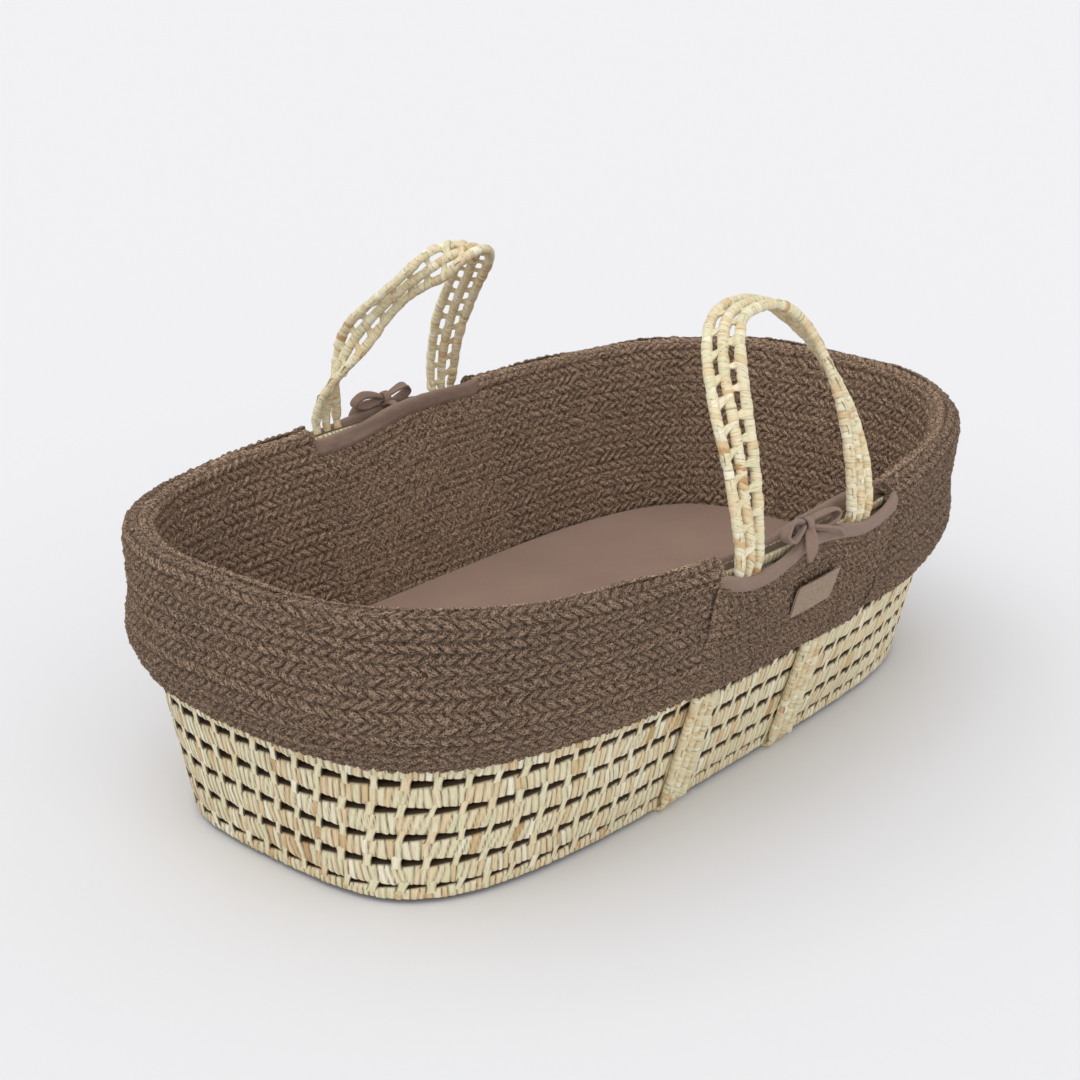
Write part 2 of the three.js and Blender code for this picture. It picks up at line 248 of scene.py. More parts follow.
def grid_normals(points, wrap_rows=False, wrap_cols=False):
    """Unit normals of a grid of points, from its neighbours."""
    def slope(axis, wrap):
        if wrap:
            return np.roll(points, -1, axis) - np.roll(points, 1, axis)
        return np.gradient(points, axis=axis)
    return normalised(np.cross(slope(0, wrap_rows), slope(1, wrap_cols)))


def grid_quads(rows, cols, wrap_rows=False, wrap_cols=False, start=0):
    r = np.arange(rows if wrap_rows else rows - 1)
    c = np.arange(cols if wrap_cols else cols - 1)
    r, c = np.meshgrid(r, c, indexing="ij")
    r2, c2 = (r + 1) % rows, (c + 1) % cols
    quads = np.stack([r * cols + c, r2 * cols + c, r2 * cols + c2, r * cols + c2], axis=-1)
    return quads.reshape(-1, 4) + start


def make_mesh(name, points, quads, tris=None):
    mesh = bpy.data.meshes.new(name)
    points = np.asarray(points, np.float32).reshape(-1, 3) * MM
    tris = np.zeros((0, 3), np.int64) if tris is None else np.asarray(tris)
    corners = np.concatenate([np.asarray(quads).ravel(), tris.ravel()]).astype(np.int32)
    starts = np.concatenate([np.arange(len(quads)) * 4, len(quads) * 4 + np.arange(len(tris)) * 3])
    mesh.vertices.add(len(points))
    mesh.vertices.foreach_set("co", points.ravel())
    mesh.loops.add(len(corners))
    mesh.loops.foreach_set("vertex_index", corners)
    mesh.polygons.add(len(starts))
    mesh.polygons.foreach_set("loop_start", starts.astype(np.int32))
    mesh.update(calc_edges=True)
    mesh.validate()
    mesh.shade_smooth()
    return mesh


def set_attribute(mesh, name, values):
    values = np.asarray(values, np.float32)
    kind = "FLOAT_VECTOR" if values.ndim == 2 else "FLOAT"
    attribute = mesh.attributes.new(name, kind, "POINT")
    attribute.data.foreach_set("vector" if values.ndim == 2 else "value", values.ravel())


def end_caps(rows, cols):
    """Fans of triangles that close the two ends of a tube's grid of points."""
    ring = np.arange(rows) * cols
    fan = np.array([(0, k, k + 1) for k in range(1, rows - 1)])
    return np.concatenate([ring[fan], (ring + cols - 1)[fan][:, ::-1]])


def border_quads(rows, cols):
    """Quads that join the borders of a face grid and of a back grid that follows it."""
    index = np.arange(rows * cols).reshape(rows, cols)
    loop = np.concatenate([index[0, :-1], index[:-1, -1], index[-1, :0:-1], index[:0:-1, 0]])
    ahead = np.roll(loop, -1)
    return np.stack([loop, ahead, ahead + rows * cols, loop + rows * cols], axis=-1)


class Build:
    """Collects grids of points into one mesh, with the grain and shade of each point."""

    def __init__(self):
        self.points, self.quads, self.tris, self.grain, self.shade = [], [], [], [], []
        self.count = 0

    def add(self, points, quads, grain, shade, tris=None):
        points = np.asarray(points).reshape(-1, 3)
        self.points.append(points)
        self.quads.append(quads + self.count)
        if tris is not None:
            self.tris.append(tris + self.count)
        self.grain.append(np.broadcast_to(grain, points.shape))
        self.shade.append(np.broadcast_to(shade, points.shape[:1]))
        self.count += len(points)

    def add_tube(self, points, grain, shade, flip=False):
        """A closed tube. Its sections run down the grid and its length runs along it."""
        rows, cols = points.shape[:2]
        quads, tris = grid_quads(rows, cols, True, False), end_caps(rows, cols)
        if flip:
            quads, tris = quads[:, ::-1], tris[:, ::-1]
        self.add(points, quads, grain.reshape(-1, 3), shade.ravel(), tris)

    def add_slab(self, face, back, grain, face_shade, back_shade):
        """A thin closed sheet between a grid of face points and one of back points."""
        rows, cols = face.shape[:2]
        points = np.concatenate([face.reshape(-1, 3), back.reshape(-1, 3)])
        face_quads, back_quads = grid_quads(rows, cols)[:, ::-1], grid_quads(rows, cols, start=rows * cols)
        quads = np.concatenate([face_quads, back_quads, border_quads(rows, cols)])
        self.add(points, quads, np.concatenate([grain, grain]), np.concatenate([face_shade, back_shade]))

    def finish(self, name, material, body, slot, replaces=()):
        tris = np.concatenate(self.tris) if self.tris else None
        mesh = make_mesh(name, np.concatenate(self.points), np.concatenate(self.quads), tris)
        set_attribute(mesh, "grain", np.concatenate(self.grain))
        set_attribute(mesh, "shade", np.concatenate(self.shade))
        mesh.materials.append(material)
        piece = add_object(name, mesh)
        if body:
            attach(piece, body)
        if replaces:
            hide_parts(*replaces)
        return piece


def ring_angles(count):
    """Even angles round a section, as a column."""
    return np.linspace(0, TAU, count, endpoint=False)[:, None]


def wave(count, length, reach):
    """A smooth closed random wave along count points of a length, with a bump about every reach mm."""
    knots = max(int(length / reach), 3)
    values = rng.normal(0, 1.0, knots)
    values = np.concatenate([values, values[:1]])
    at = np.linspace(0, knots, count, endpoint=False)
    base = np.floor(at).astype(int)
    t = smooth(at - base)
    return values[base] * (1 - t) + values[base + 1] * t


# ---------------------------------------------------------------- materials

def new_material(name):
    material = bpy.data.materials.new(name)
    material.use_nodes = True
    tree = material.node_tree
    return material, tree, tree.nodes["Principled BSDF"]


def node(tree, kind, **settings):
    made = tree.nodes.new(kind)
    for key, value in settings.items():
        if key in made.inputs:
            made.inputs[key].default_value = value
        else:
            setattr(made, key, value)
    return made


def ramp(tree, factor, stops):
    made = tree.nodes.new("ShaderNodeValToRGB")
    elements = made.color_ramp.elements
    while len(elements) < len(stops):
        elements.new(0.5)
    for element, (at, colour) in zip(elements, stops):
        element.position = at
        element.color = (*colour, 1)
    tree.links.new(factor, made.inputs["Fac"])
    return made.outputs["Color"]


def mix_colour(tree, factor, first, second, blend="MIX"):
    made = tree.nodes.new("ShaderNodeMix")
    made.data_type = "RGBA"
    made.blend_type = blend
    for socket, value in ((made.inputs[0], factor), (made.inputs[6], first), (made.inputs[7], second)):
        if isinstance(value, bpy.types.NodeSocket):
            tree.links.new(value, socket)
        elif isinstance(value, tuple):
            socket.default_value = (*value, 1)
        else:
            socket.default_value = value
    return made.outputs[2]


def math_node(tree, operation, first, second=0.0, clamp=False):
    made = tree.nodes.new("ShaderNodeMath")
    made.operation = operation
    made.use_clamp = clamp
    for socket, value in zip(made.inputs, (first, second)):
        if isinstance(value, bpy.types.NodeSocket):
            tree.links.new(value, socket)
        else:
            socket.default_value = value
    return made.outputs[0]


def read_attribute(tree, name):
    return node(tree, "ShaderNodeAttribute", attribute_name=name)


def object_place(tree):
    return node(tree, "ShaderNodeTexCoord").outputs["Object"]


def scaled(tree, vector, scale):
    made = tree.nodes.new("ShaderNodeMapping")
    made.inputs["Scale"].default_value = scale
    tree.links.new(vector, made.inputs["Vector"])
    return made.outputs["Vector"]


def noise(tree, vector, scale, detail=3.0, roughness=0.55):
    made = node(tree, "ShaderNodeTexNoise", Scale=scale, Detail=detail, Roughness=roughness)
    tree.links.new(vector, made.inputs["Vector"])
    return made.outputs["Fac"]


def bump(tree, shader, height, strength, distance):
    made = node(tree, "ShaderNodeBump", Strength=strength, Distance=distance)
    tree.links.new(height, made.inputs["Height"])
    tree.links.new(made.outputs["Normal"], shader.inputs["Normal"])


# The tints of husk strips, from the darkest to the palest
HUSK_TINTS = [
    (0.0, (0.55, 0.34, 0.15)), (0.15, (0.72, 0.53, 0.29)), (0.38, (0.80, 0.66, 0.42)),
    (0.58, (0.84, 0.75, 0.52)), (0.78, (0.77, 0.72, 0.48)), (1.0, (0.93, 0.87, 0.68)),
]
HUSK_STREAKS = [(0.30, (0.66, 0.54, 0.38)), (0.50, (1.0, 1.0, 1.0)), (0.75, (1.08, 1.07, 1.04))]
HUSK_STAIN = (0.80, 0.55, 0.30)
# Painted shade: the near black brown that the creases between strips and the slits are darkened to
HUSK_PAINTED_SHADE = (0.060, 0.032, 0.016)


def husk_material(name, warmth=0.0):
    """Dry maize husk: pale strips, each of its own tint, with fibres and stains, and painted shade that
    darkens the creases between strips and the slits.
    """
    material, tree, shader = new_material(name)
    grain = read_attribute(tree, "grain")
    shade = read_attribute(tree, "shade")
    parts = node(tree, "ShaderNodeSeparateXYZ")
    tree.links.new(grain.outputs["Vector"], parts.inputs[0])
    tint = ramp(tree, parts.outputs["Z"], HUSK_TINTS)
    fibre = noise(tree, scaled(tree, grain.outputs["Vector"], (1.3, 0.09, 5.0)), 1.0, 4.0, 0.6)
    colour = mix_colour(tree, 0.8, tint, ramp(tree, fibre, HUSK_STREAKS), "MULTIPLY")
    stain = ramp(tree, noise(tree, object_place(tree), 26.0, 4.0), [(0.60, (0, 0, 0)), (0.78, (1, 1, 1))])
    stained = mix_colour(tree, 1.0, colour, HUSK_STAIN, "MULTIPLY")
    colour = mix_colour(tree, math_node(tree, "MULTIPLY", stain, 0.55 + warmth), colour, stained)
    # painted shade: the shade attribute darkens the creases between strips and the insides of slits
    edge = math_node(tree, "POWER", shade.outputs["Fac"], 1.2)
    colour = mix_colour(tree, math_node(tree, "MULTIPLY", edge, 0.96, True), colour, HUSK_PAINTED_SHADE)
    tree.links.new(colour, shader.inputs["Base Color"])
    tree.links.new(math_node(tree, "MULTIPLY_ADD", fibre, 0.25), shader.inputs["Roughness"])
    shader.inputs["Specular IOR Level"].default_value = 0.35
    bump(tree, shader, fibre, 0.5, 0.0006)
    return material


def voronoi(tree, vector, scale, randomness=1.0):
    made = node(tree, "ShaderNodeTexVoronoi", Scale=scale, Randomness=randomness)
    tree.links.new(vector, made.inputs["Vector"])
    return made.outputs["Distance"]


# The yarn's colours: the light one is a painted highlight, the dark one and the gap colour are painted shade
YARN_PAINTED_HIGHLIGHT = (0.62, 0.45, 0.34)
YARN = (0.262, 0.170, 0.119)
YARN_PAINTED_LOOP_SHADE = (0.045, 0.023, 0.014)
YARN_PAINTED_GAP_SHADE = (0.030, 0.016, 0.010)
YARN_SHEEN = (0.75, 0.58, 0.46, 1)


def knit_material(name, tone_and_painted_light=1.0):
    """Chunky boucle knit: brown yarn of crinkled loops, with a painted highlight on the loops' tops and
    painted shade, nearly black, in the pits between them and in the gaps between stitches.

    The second argument brightens and warms its colour; its higher value on the inside copy is painted light,
    where the studio's light reaches the knit less.
    """
    material, tree, shader = new_material(name)
    grain = read_attribute(tree, "grain")
    shade = read_attribute(tree, "shade")
    place = object_place(tree)
    strands = voronoi(tree, scaled(tree, grain.outputs["Vector"], (1.25, 0.70, 9.0)), 1.0)
    loops = voronoi(tree, place, 880.0)
    plies = noise(tree, scaled(tree, grain.outputs["Vector"], (1.8, 0.8, 5.0)), 1.0, 2.0, 0.6)
    strand_pits = math_node(tree, "MULTIPLY", strands, 0.62)
    loop_pits = math_node(tree, "MULTIPLY", loops, 0.52)
    pits = math_node(tree, "ADD", strand_pits, loop_pits)
    crinkle = math_node(tree, "SUBTRACT", math_node(tree, "ADD", plies, 0.5), pits)
    # painted highlight and painted shade: the yarn's colour follows the crinkle's height, light on the tops
    # and dark in the pits
    yarn = ramp(tree, crinkle, [(0.18, YARN_PAINTED_LOOP_SHADE), (0.36, YARN), (0.62, YARN_PAINTED_HIGHLIGHT)])
    # painted shade: the shade attribute darkens the gaps between stitches and rows nearly to black
    deep = math_node(tree, "POWER", shade.outputs["Fac"], 1.05)
    colour = mix_colour(tree, math_node(tree, "MULTIPLY", deep, 0.95, True), yarn, YARN_PAINTED_GAP_SHADE)
    cloud = ramp(tree, noise(tree, place, 9.0), [(0.3, (0.93, 0.93, 0.93)), (0.7, (1.07, 1.06, 1.05))])
    colour = mix_colour(tree, 1.0, colour, cloud, "MULTIPLY")
    # the second argument brightens and warms the colour; on the inside copy this is painted light
    colour = mix_colour(tree, 1.0, colour, (tone_and_painted_light, tone_and_painted_light * 0.99, tone_and_painted_light * 0.93), "MULTIPLY")
    tree.links.new(colour, shader.inputs["Base Color"])
    set_inputs(shader, Roughness=0.97, Specular_IOR_Level=0.08)
    set_inputs(shader, Sheen_Weight=0.18, Sheen_Roughness=0.55, Sheen_Tint=YARN_SHEEN)
    bump(tree, shader, crinkle, 1.0, 0.0021)
    return material


JERSEY_BROWN = (0.262, 0.178, 0.137)
SHEET_BROWN = (0.305, 0.199, 0.150)
TICKING_CREAM = (0.72, 0.69, 0.62)
SUEDE_TANS = [(0.3, (0.25, 0.175, 0.12)), (0.7, (0.38, 0.28, 0.20))]


def jersey_material(name, colour):
    """Smooth cotton jersey: fine columns of loops, soft mottling."""
    material, tree, shader = new_material(name)
    place = object_place(tree)
    loops = noise(tree, scaled(tree, place, (900, 900, 900)), 1.0, 2.0)
    cloud = noise(tree, place, 14.0, 4.0)
    dark, light = tuple(c * 0.93 for c in colour), tuple(c * 1.06 for c in colour)
    shades = ramp(tree, cloud, [(0.3, dark), (0.7, light)])
    flecks = ramp(tree, loops, [(0.3, (0.86, 0.86, 0.86)), (0.7, (1.1, 1.1, 1.1))])
    tree.links.new(mix_colour(tree, 1.0, shades, flecks, "MULTIPLY"), shader.inputs["Base Color"])
    set_inputs(shader, Roughness=0.9, Specular_IOR_Level=0.2, Sheen_Weight=0.15, Sheen_Roughness=0.5)
    bump(tree, shader, loops, 0.35, 0.0004)
    return material


def suede_material(name):
    """Tan suede with a fine nap."""
    material, tree, shader = new_material(name)
    nap = noise(tree, object_place(tree), 420.0, 4.0)
    tree.links.new(ramp(tree, nap, SUEDE_TANS), shader.inputs["Base Color"])
    shader.inputs["Roughness"].default_value = 0.75
    bump(tree, shader, nap, 0.3, 0.0004)
    return material


HUSK = husk_material("maize_husk")
HUSK_CORD = husk_material("maize_husk_cord", 0.1)
# Two copies of one knit: the inside one is brightened more, as painted light where the studio's light reaches
# the lining less
KNIT = knit_material("chunky_knit", 1.14)
KNIT_INSIDE = knit_material("chunky_knit_inside", 1.60)
JERSEY = jersey_material("jersey", JERSEY_BROWN)
SHEET = jersey_material("sheet_jersey", SHEET_BROWN)
SUEDE = suede_material("suede")
TICKING = jersey_material("ticking", TICKING_CREAM)


# ---------------------------------------------------------------- coiled husk rows

WRAPS_PER_STITCH = 4
STITCH = 23.2  # from one stitch to the next, in mm
SECTION = 20  # points round a coil's section
BOXY = 0.42  # 1 would be a round section, 0 a square one
STRIP_WIDTHS = (0.72, 1.28)  # of the mean width
STRIP_TINT, TINT_SPREAD = 0.60, 0.24
STRIP_LIFT = 0.45  # how far a strip stands out from the next one, in mm, either way
STRIP_CROWN = 0.75  # how far a strip's middle stands out from its edges
STRIP_TILT = 0.7  # how far one edge of a strip lies over the last strip
SLIT_DARK = 0.90  # the share of the depth inside which a coil's top and bottom are in a slit's shadow


def strip_layout(length, wrap_width):
    """Edges of the husk strips along a row of a given length, with a tint and lift for each."""
    count = int(round(length / wrap_width))
    widths = rng.uniform(*STRIP_WIDTHS, count)
    edges = np.concatenate([[0], np.cumsum(widths)]) * length / widths.sum()
    tints = np.clip(rng.normal(STRIP_TINT, TINT_SPREAD, count), 0.02, 1)
    lifts = rng.uniform(-STRIP_LIFT, STRIP_LIFT, count)
    return edges, tints, lifts


def strips_at(along, layout):
    """Each point's strip, its place across it from 0 to 1, and the strip's tint, lift and crown there."""
    edges, tints, lifts = layout
    at = np.mod(along, edges[-1])
    index = np.clip(np.searchsorted(edges, at, side="right") - 1, 0, len(tints) - 1)
    share = (at - edges[index]) / (edges[index + 1] - edges[index])
    crown = 1 - np.abs(2 * share - 1) ** 3
    return index, share, tints[index], lifts[index], crown


def coil_row(build, centre, up, out, lengths, half_height, half_thick, fine=True, trims=(0.0, 0.0)):
    """A closed husk coil: wrapped strips round an oval section that follows a closed line.

    trims are what the slit below and the slit above take off its height, along the line.
    """
    cols = len(lengths)
    length = lengths[-1] + lengths[1]
    layout = strip_layout(length, STITCH / WRAPS_PER_STITCH if fine else STITCH)
    turn = ring_angles(SECTION)
    rise = signed_power(np.sin(turn), BOXY)
    depth = signed_power(np.cos(turn), BOXY)
    slant = 0.12 * wave(cols, length, 45) + 0.13 * wave(cols, length, 9)
    along = lengths[None, :] + slant[None, :] * rise * half_height
    index, share, tint, lift, crown = strips_at(along, layout)
    relief = STRIP_CROWN * crown + lift + STRIP_TILT * (share - 0.5)
    wobble = 0.35 * wave(cols, length, 60)[None, :]
    trim = np.where(rise < 0, trims[0], trims[1]) * np.abs(rise)
    height = half_height + 0.35 * relief + wobble - trim
    thick = half_thick + relief + wobble * 0.6
    points = (centre[None] + up[None] * (rise * height)[..., None] + out[None] * (depth * thick)[..., None])
    grain = np.stack([along, rise * half_height + index * 7.3, tint + 0 * along], axis=-1)
    # painted shade: darker in the creases between strips, and on a coil's top and bottom in a slit's shadow
    shade = np.clip(1.12 * np.clip(1 - crown, 0, 1) ** 1.5, 0, 1)
    if fine:
        inner = np.clip((SLIT_DARK - np.abs(depth)) / 0.25, 0, 1) * (np.abs(rise) > 0.85)
        shade = np.maximum(shade, inner)
    quads = grid_quads(SECTION, cols, True, True)
    build.add(points, quads[:, ::-1], grain.reshape(-1, 3), shade.ravel())


def row_line(row):
    """The height of the line under a wall row, as a function of the angle."""
    def line(angle):
        top = rim_height(angle) - RIM_FOOT
        return BASE_RING[1] + (top - BASE_RING[1]) * row / WALL_ROWS
    return line


SLIT_HALF = 2.2  # half the height of the slit between two rows
SLIT_WEDGE = 1.35  # how much higher it is after a stitch, and lower before the next
SLIT_STEP = 3.0
TRIM_BELOW, TRIM_ABOVE = 0.6, 1.2  # what a row gives up of the wedge of the slit below it and above it
HIDDEN_INSET = 0.6  # half the gap between two rows behind the liner
COIL_DEEP = COIL_HALF - 0.6  # half a coil's thickness under its strips


class Slit:
    """The slit between two rows: its line, and the stitches that cross it at even steps."""

    def __init__(self, line, count):
        self.line, self.count, self.phase = line, count, rng.uniform(0, 1)
        self.angles, self.lengths = even_angles(lambda a: wall_point(a, line(a)), 0, TAU, SLIT_STEP)

    def stitch_angles(self):
        places = (np.arange(self.count) + self.phase) * self.lengths[-1] / self.count
        return np.interp(places, self.lengths, self.angles)

    def wedge(self, angle):
        """What it takes off a row's height, just after a stitch the most."""
        place = np.interp(angle, self.angles, self.lengths) / self.lengths[-1] * self.count - self.phase
        return SLIT_WEDGE * (1 - 2 * (place - np.floor(place)))


def wall_coil(bottom, top, step, fine, below=None, above=None):
    """A row of the wall between two lines. below and above are the slits at its edges."""
    def middle(angle):
        return wall_point(angle, (bottom(angle) + top(angle)) / 2)
    angles, lengths = even_angles(middle, 0, TAU, step)
    angles, lengths = angles[:-1], lengths[:-1]
    low, high = bottom(angles), top(angles)
    centre = wall_point(angles, (low + high) / 2)
    up = normalised(wall_point(angles, high) - wall_point(angles, low))
    along = normalised(np.roll(centre, -1, 0) - np.roll(centre, 1, 0))
    out = normalised(np.cross(along, up))
    inset = SLIT_HALF if fine else HIDDEN_INSET
    half_height = ((high - low) / 2 - inset)[None, :]
    trim_below = TRIM_BELOW * below.wedge(angles) if below else 0.0
    trim_above = TRIM_ABOVE * above.wedge(angles) if above else 0.0
    build = Build()
    coil_row(build, centre, up, out, lengths, half_height, COIL_DEEP, fine, (trim_below, trim_above))
    return build


STITCH_REACH = 6.4  # how far a stitch reaches up and down from the slit it crosses
STITCH_OUT = 5.6  # how far it stands out from the wall's middle
STITCH_THICK = 1.2
STITCH_WAIST, STITCH_FLARE = 2.9, 1.5  # half its width at the slit, and what its ends add


def bridge_stitches(build, slit):
    """Hourglass stitches that cross the slit between two rows."""
    v = np.linspace(-1, 1, 9)[:, None]
    u = np.linspace(-1, 1, 6)[None, :]
    turn = 1 / 300
    for number, angle in enumerate(slit.stitch_angles()):
        level = slit.line(angle)
        width = STITCH_WAIST + STITCH_FLARE * v ** 2 + rng.uniform(-0.6, 0.8)
        lean = rng.uniform(-1.2, 1.2) + 0.8
        z = level + v * STITCH_REACH + 0 * u
        offset = STITCH_OUT + 0.5 * v ** 2 - 1.3 * v ** 8 + 0.3 * (1 - u ** 2)
        ahead, behind = wall_point(angle + turn, level), wall_point(angle - turn, level)
        metric = np.linalg.norm(ahead - behind) / (2 * turn)
        at = angle + (u * width + lean * v) / metric
        face = wall_point(at, z, offset)
        back = wall_point(at, z, offset - STITCH_THICK)
        tint = np.clip(rng.normal(0.68, 0.15), 0.05, 1)
        across = (u * width + number * 31).ravel()
        along = (v * STITCH_REACH + 0 * u).ravel()
        grain = np.stack([across, along, np.full(across.shape, tint)], axis=-1)
        # painted shade: darker at a stitch's edges, and a little more on its back
        shade = (np.abs(u) ** 6 * 0.8 + 0 * v).ravel()
        build.add_slab(face, back, grain, shade, shade + 0.1)


FINE_STEP = 1.15
COARSE_STEP = 4.0
LAST_SEEN = 6  # rows above this one are behind the liner
STITCH_COUNT = 90  # stitches in each slit
BASE_EXTRA = 1.5  # what the base ring keeps of the half slit that each row gives up


def level_line(height):
    """A level line under or over a row, as a function of the angle."""
    return lambda angle: height + 0 * angle


def make_wall():
    names = ["base_ring"] + [f"wall_coil_{row + 1}" for row in range(WALL_ROWS)] + ["rim_coil"]
    below = None
    for number, name in enumerate(names):
        if number == 0:
            bottom, top = level_line(BASE_RING[0] - BASE_EXTRA), level_line(BASE_RING[1] + BASE_EXTRA)
        elif number <= WALL_ROWS:
            bottom, top = row_line(number - 1), row_line(number)
        else:
            bottom, top = row_line(WALL_ROWS), (lambda a: rim_height(a) + RIM_CROWN)
        seen = number <= LAST_SEEN
        fine = seen or name == "rim_coil"
        above = Slit(row_line(number), STITCH_COUNT) if seen else None
        build = wall_coil(bottom, top, FINE_STEP if fine else COARSE_STEP, fine, below, above)
        if above:
            bridge_stitches(build, above)
        below = above
        build.finish(f"husk_{name}", HUSK, "basket", "straw", [name])


make_wall()


# ---------------------------------------------------------------- knitted liner

ROW_PITCH = 9.4
STITCH_LENGTH = 9.8
KNIT_RELIEF = 3.0  # how far a stitch stands out
KNIT_LEVEL = 0.75  # the part of its height that lies above the knit's middle surface
KNIT_SWELL = 0.9
KNIT_BACK = 5.0  # the knit's thickness behind its middle surface
BACK_EVERY = 9  # the back has one row for so many face rows
LINING_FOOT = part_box("liner_end_left")[0][2] / MM
HEM_Z = 122.0
HEM_FALL = 8.0  # how much lower the hem is at the right end than at the middle
SLITS = {"front": (-123.0, 115.0), "back": (-98.0, 125.0)}  # from x to x
SIDES = {"front": -1, "back": 1}
SKIRT_STEP = 1.35
LINING_STEP = 1.6
# Controls of a section: offset from the wall, rise over the rim line, share of the way down
SKIRT_CONTROLS = [
    (0, 13, 0), (9.2, 9.2, 0), (13, 0, 0), (13.6, 0, 0.2), (15.5, 0, 0.4), (21.5, 0, 0.58), (23.5, 0, 0.68),
    (21.5, 0, 0.80), (17, 0, 0.91), (12, 0, 1.0),
]
LINING_CONTROLS = [
    (0, 13, 0), (-9.2, 9.2, 0), (-13, 0, 0), (-13.5, 0, 0.3), (-13.5, 0, 0.65), (-13.5, 0, 1.0),
]
EDGE_REACH = 0.55  # how far down a flap the shape of its binding is felt, as a share of its height


def hem_height(angle):
    return HEM_Z - HEM_FALL * unit_reach(angle, RIM_POWER) * np.cos(angle)


def lining_foot(angle):
    return LINING_FOOT + 0 * angle


def catmull(points, per_span):
    """A smooth line through control points."""
    points = np.asarray(points, float)
    padded = np.concatenate([2 * points[:1] - points[1:2], points, 2 * points[-1:] - points[-2:-1]])
    line = []
    for k in range(len(points) - 1):
        p0, p1, p2, p3 = padded[k:k + 4]
        t = np.linspace(0, 1, per_span, endpoint=False)[:, None]
        line.append(0.5 * (2 * p1 + (p2 - p0) * t + (2 * p0 - 5 * p1 + 4 * p2 - p3) * t ** 2
                           + (3 * p1 - p0 - 3 * p2 + p3) * t ** 3))
    return np.concatenate(line + [points[-1:]])


def columns_at(places, known, fields):
    """The columns of fields, which are given at the known places, read at other places."""
    return np.stack([np.interp(places, known, fields[:, k]) for k in range(fields.shape[1])], axis=-1)


def even_line(points, lengths, step):
    """Points at even steps along a line whose lengths are given, and their own lengths."""
    count = max(int(round(lengths[-1] / step)), 2)
    even = np.linspace(0, lengths[-1], count + 1)
    return columns_at(even, lengths, points), even


def section_points(controls, foot, angles, edge=None):
    """Base points of a section (rows) at each angle (columns).

    edge gives the shifts of the upper edge out and up, at each angle.
    """
    rim = rim_height(angles)[None, :]
    drop = (rim_height(angles) - foot(angles))[None, :]
    offset, rise, share = (controls[:, k][:, None] for k in range(3))
    if edge:
        out, up = edge(angles)
        near = smooth(np.clip(1 - share / EDGE_REACH, 0, 1))
        offset, rise = offset + near * out[None, :], rise + near * up[None, :]
    return wall_point(angles[None, :], rim + rise - share * drop, offset)


def soft_field(a, b, size, count=7):
    """A smooth random field over two lengths, about -1 to 1."""
    total = np.zeros(np.broadcast(a, b).shape)
    for _ in range(count):
        heading = rng.uniform(0, TAU)
        scale = TAU / (size * rng.uniform(0.7, 1.8))
        total += np.sin((a * math.cos(heading) + b * math.sin(heading)) * scale + rng.uniform(0, TAU))
    return total / math.sqrt(count)


def knit_relief(a, b, pitch, stitch, ribs):
    """Height, grain and shade of slanted stitches in rows that lean to and fro."""
    b = b + 0.7 * soft_field(a, b, 55)
    row = np.floor(b / pitch)
    y = b / pitch - row - 0.5  # the place across a row, -0.5 to 0.5
    lean = np.where(np.mod(row, 2) == 0, 1.0, -1.0)
    rows = row.astype(int) - int(row.min())
    phase = rng.uniform(0, 1, rows.max() + 1)[rows] * 0.35 + 0.5 * np.mod(row, 2)
    s = a / stitch + phase + lean * y * 1.15 + 0.14 * soft_field(a, b, 26)
    number = np.round(s)
    q = s - number  # the place across a stitch, -0.5 to 0.5
    chance = np.sin(number * 12.9898 + row * 78.233) * 43758.5453
    chance = chance - np.floor(chance)  # 0 to 1, the same all over a stitch
    ragged = 0.16 * soft_field(a, b, 7)
    body = (np.clip(1 - ribs * np.abs(2 * y) ** 2.8 + ragged, 0, 1)
            * np.clip(1 - np.abs(2 * q) ** 2.6 + ragged, 0, 1))
    body = body ** 0.7
    plies = 0.10 * np.cos(TAU * q * 3.0 + chance * TAU) * body
    crinkle = 0.10 * rng.normal(size=a.shape)
    height = body * (0.86 + 0.28 * chance) + plies + crinkle
    across = q * stitch + number * 5.1
    along = y * pitch + row * 3.7
    grain = np.stack([across, along, chance], axis=-1)
    # The third value is painted shade, darkest in the gaps between stitches and between rows.
    return height, grain, np.clip(1 - body, 0, 1) ** 1.2


def edge_fade(lengths, width):
    """1 inside a panel, down to 0 at its two ends."""
    inside = np.minimum(lengths, lengths[-1] - lengths)
    t = np.clip(inside / width, 0, 1)
    return t * (2 - t)


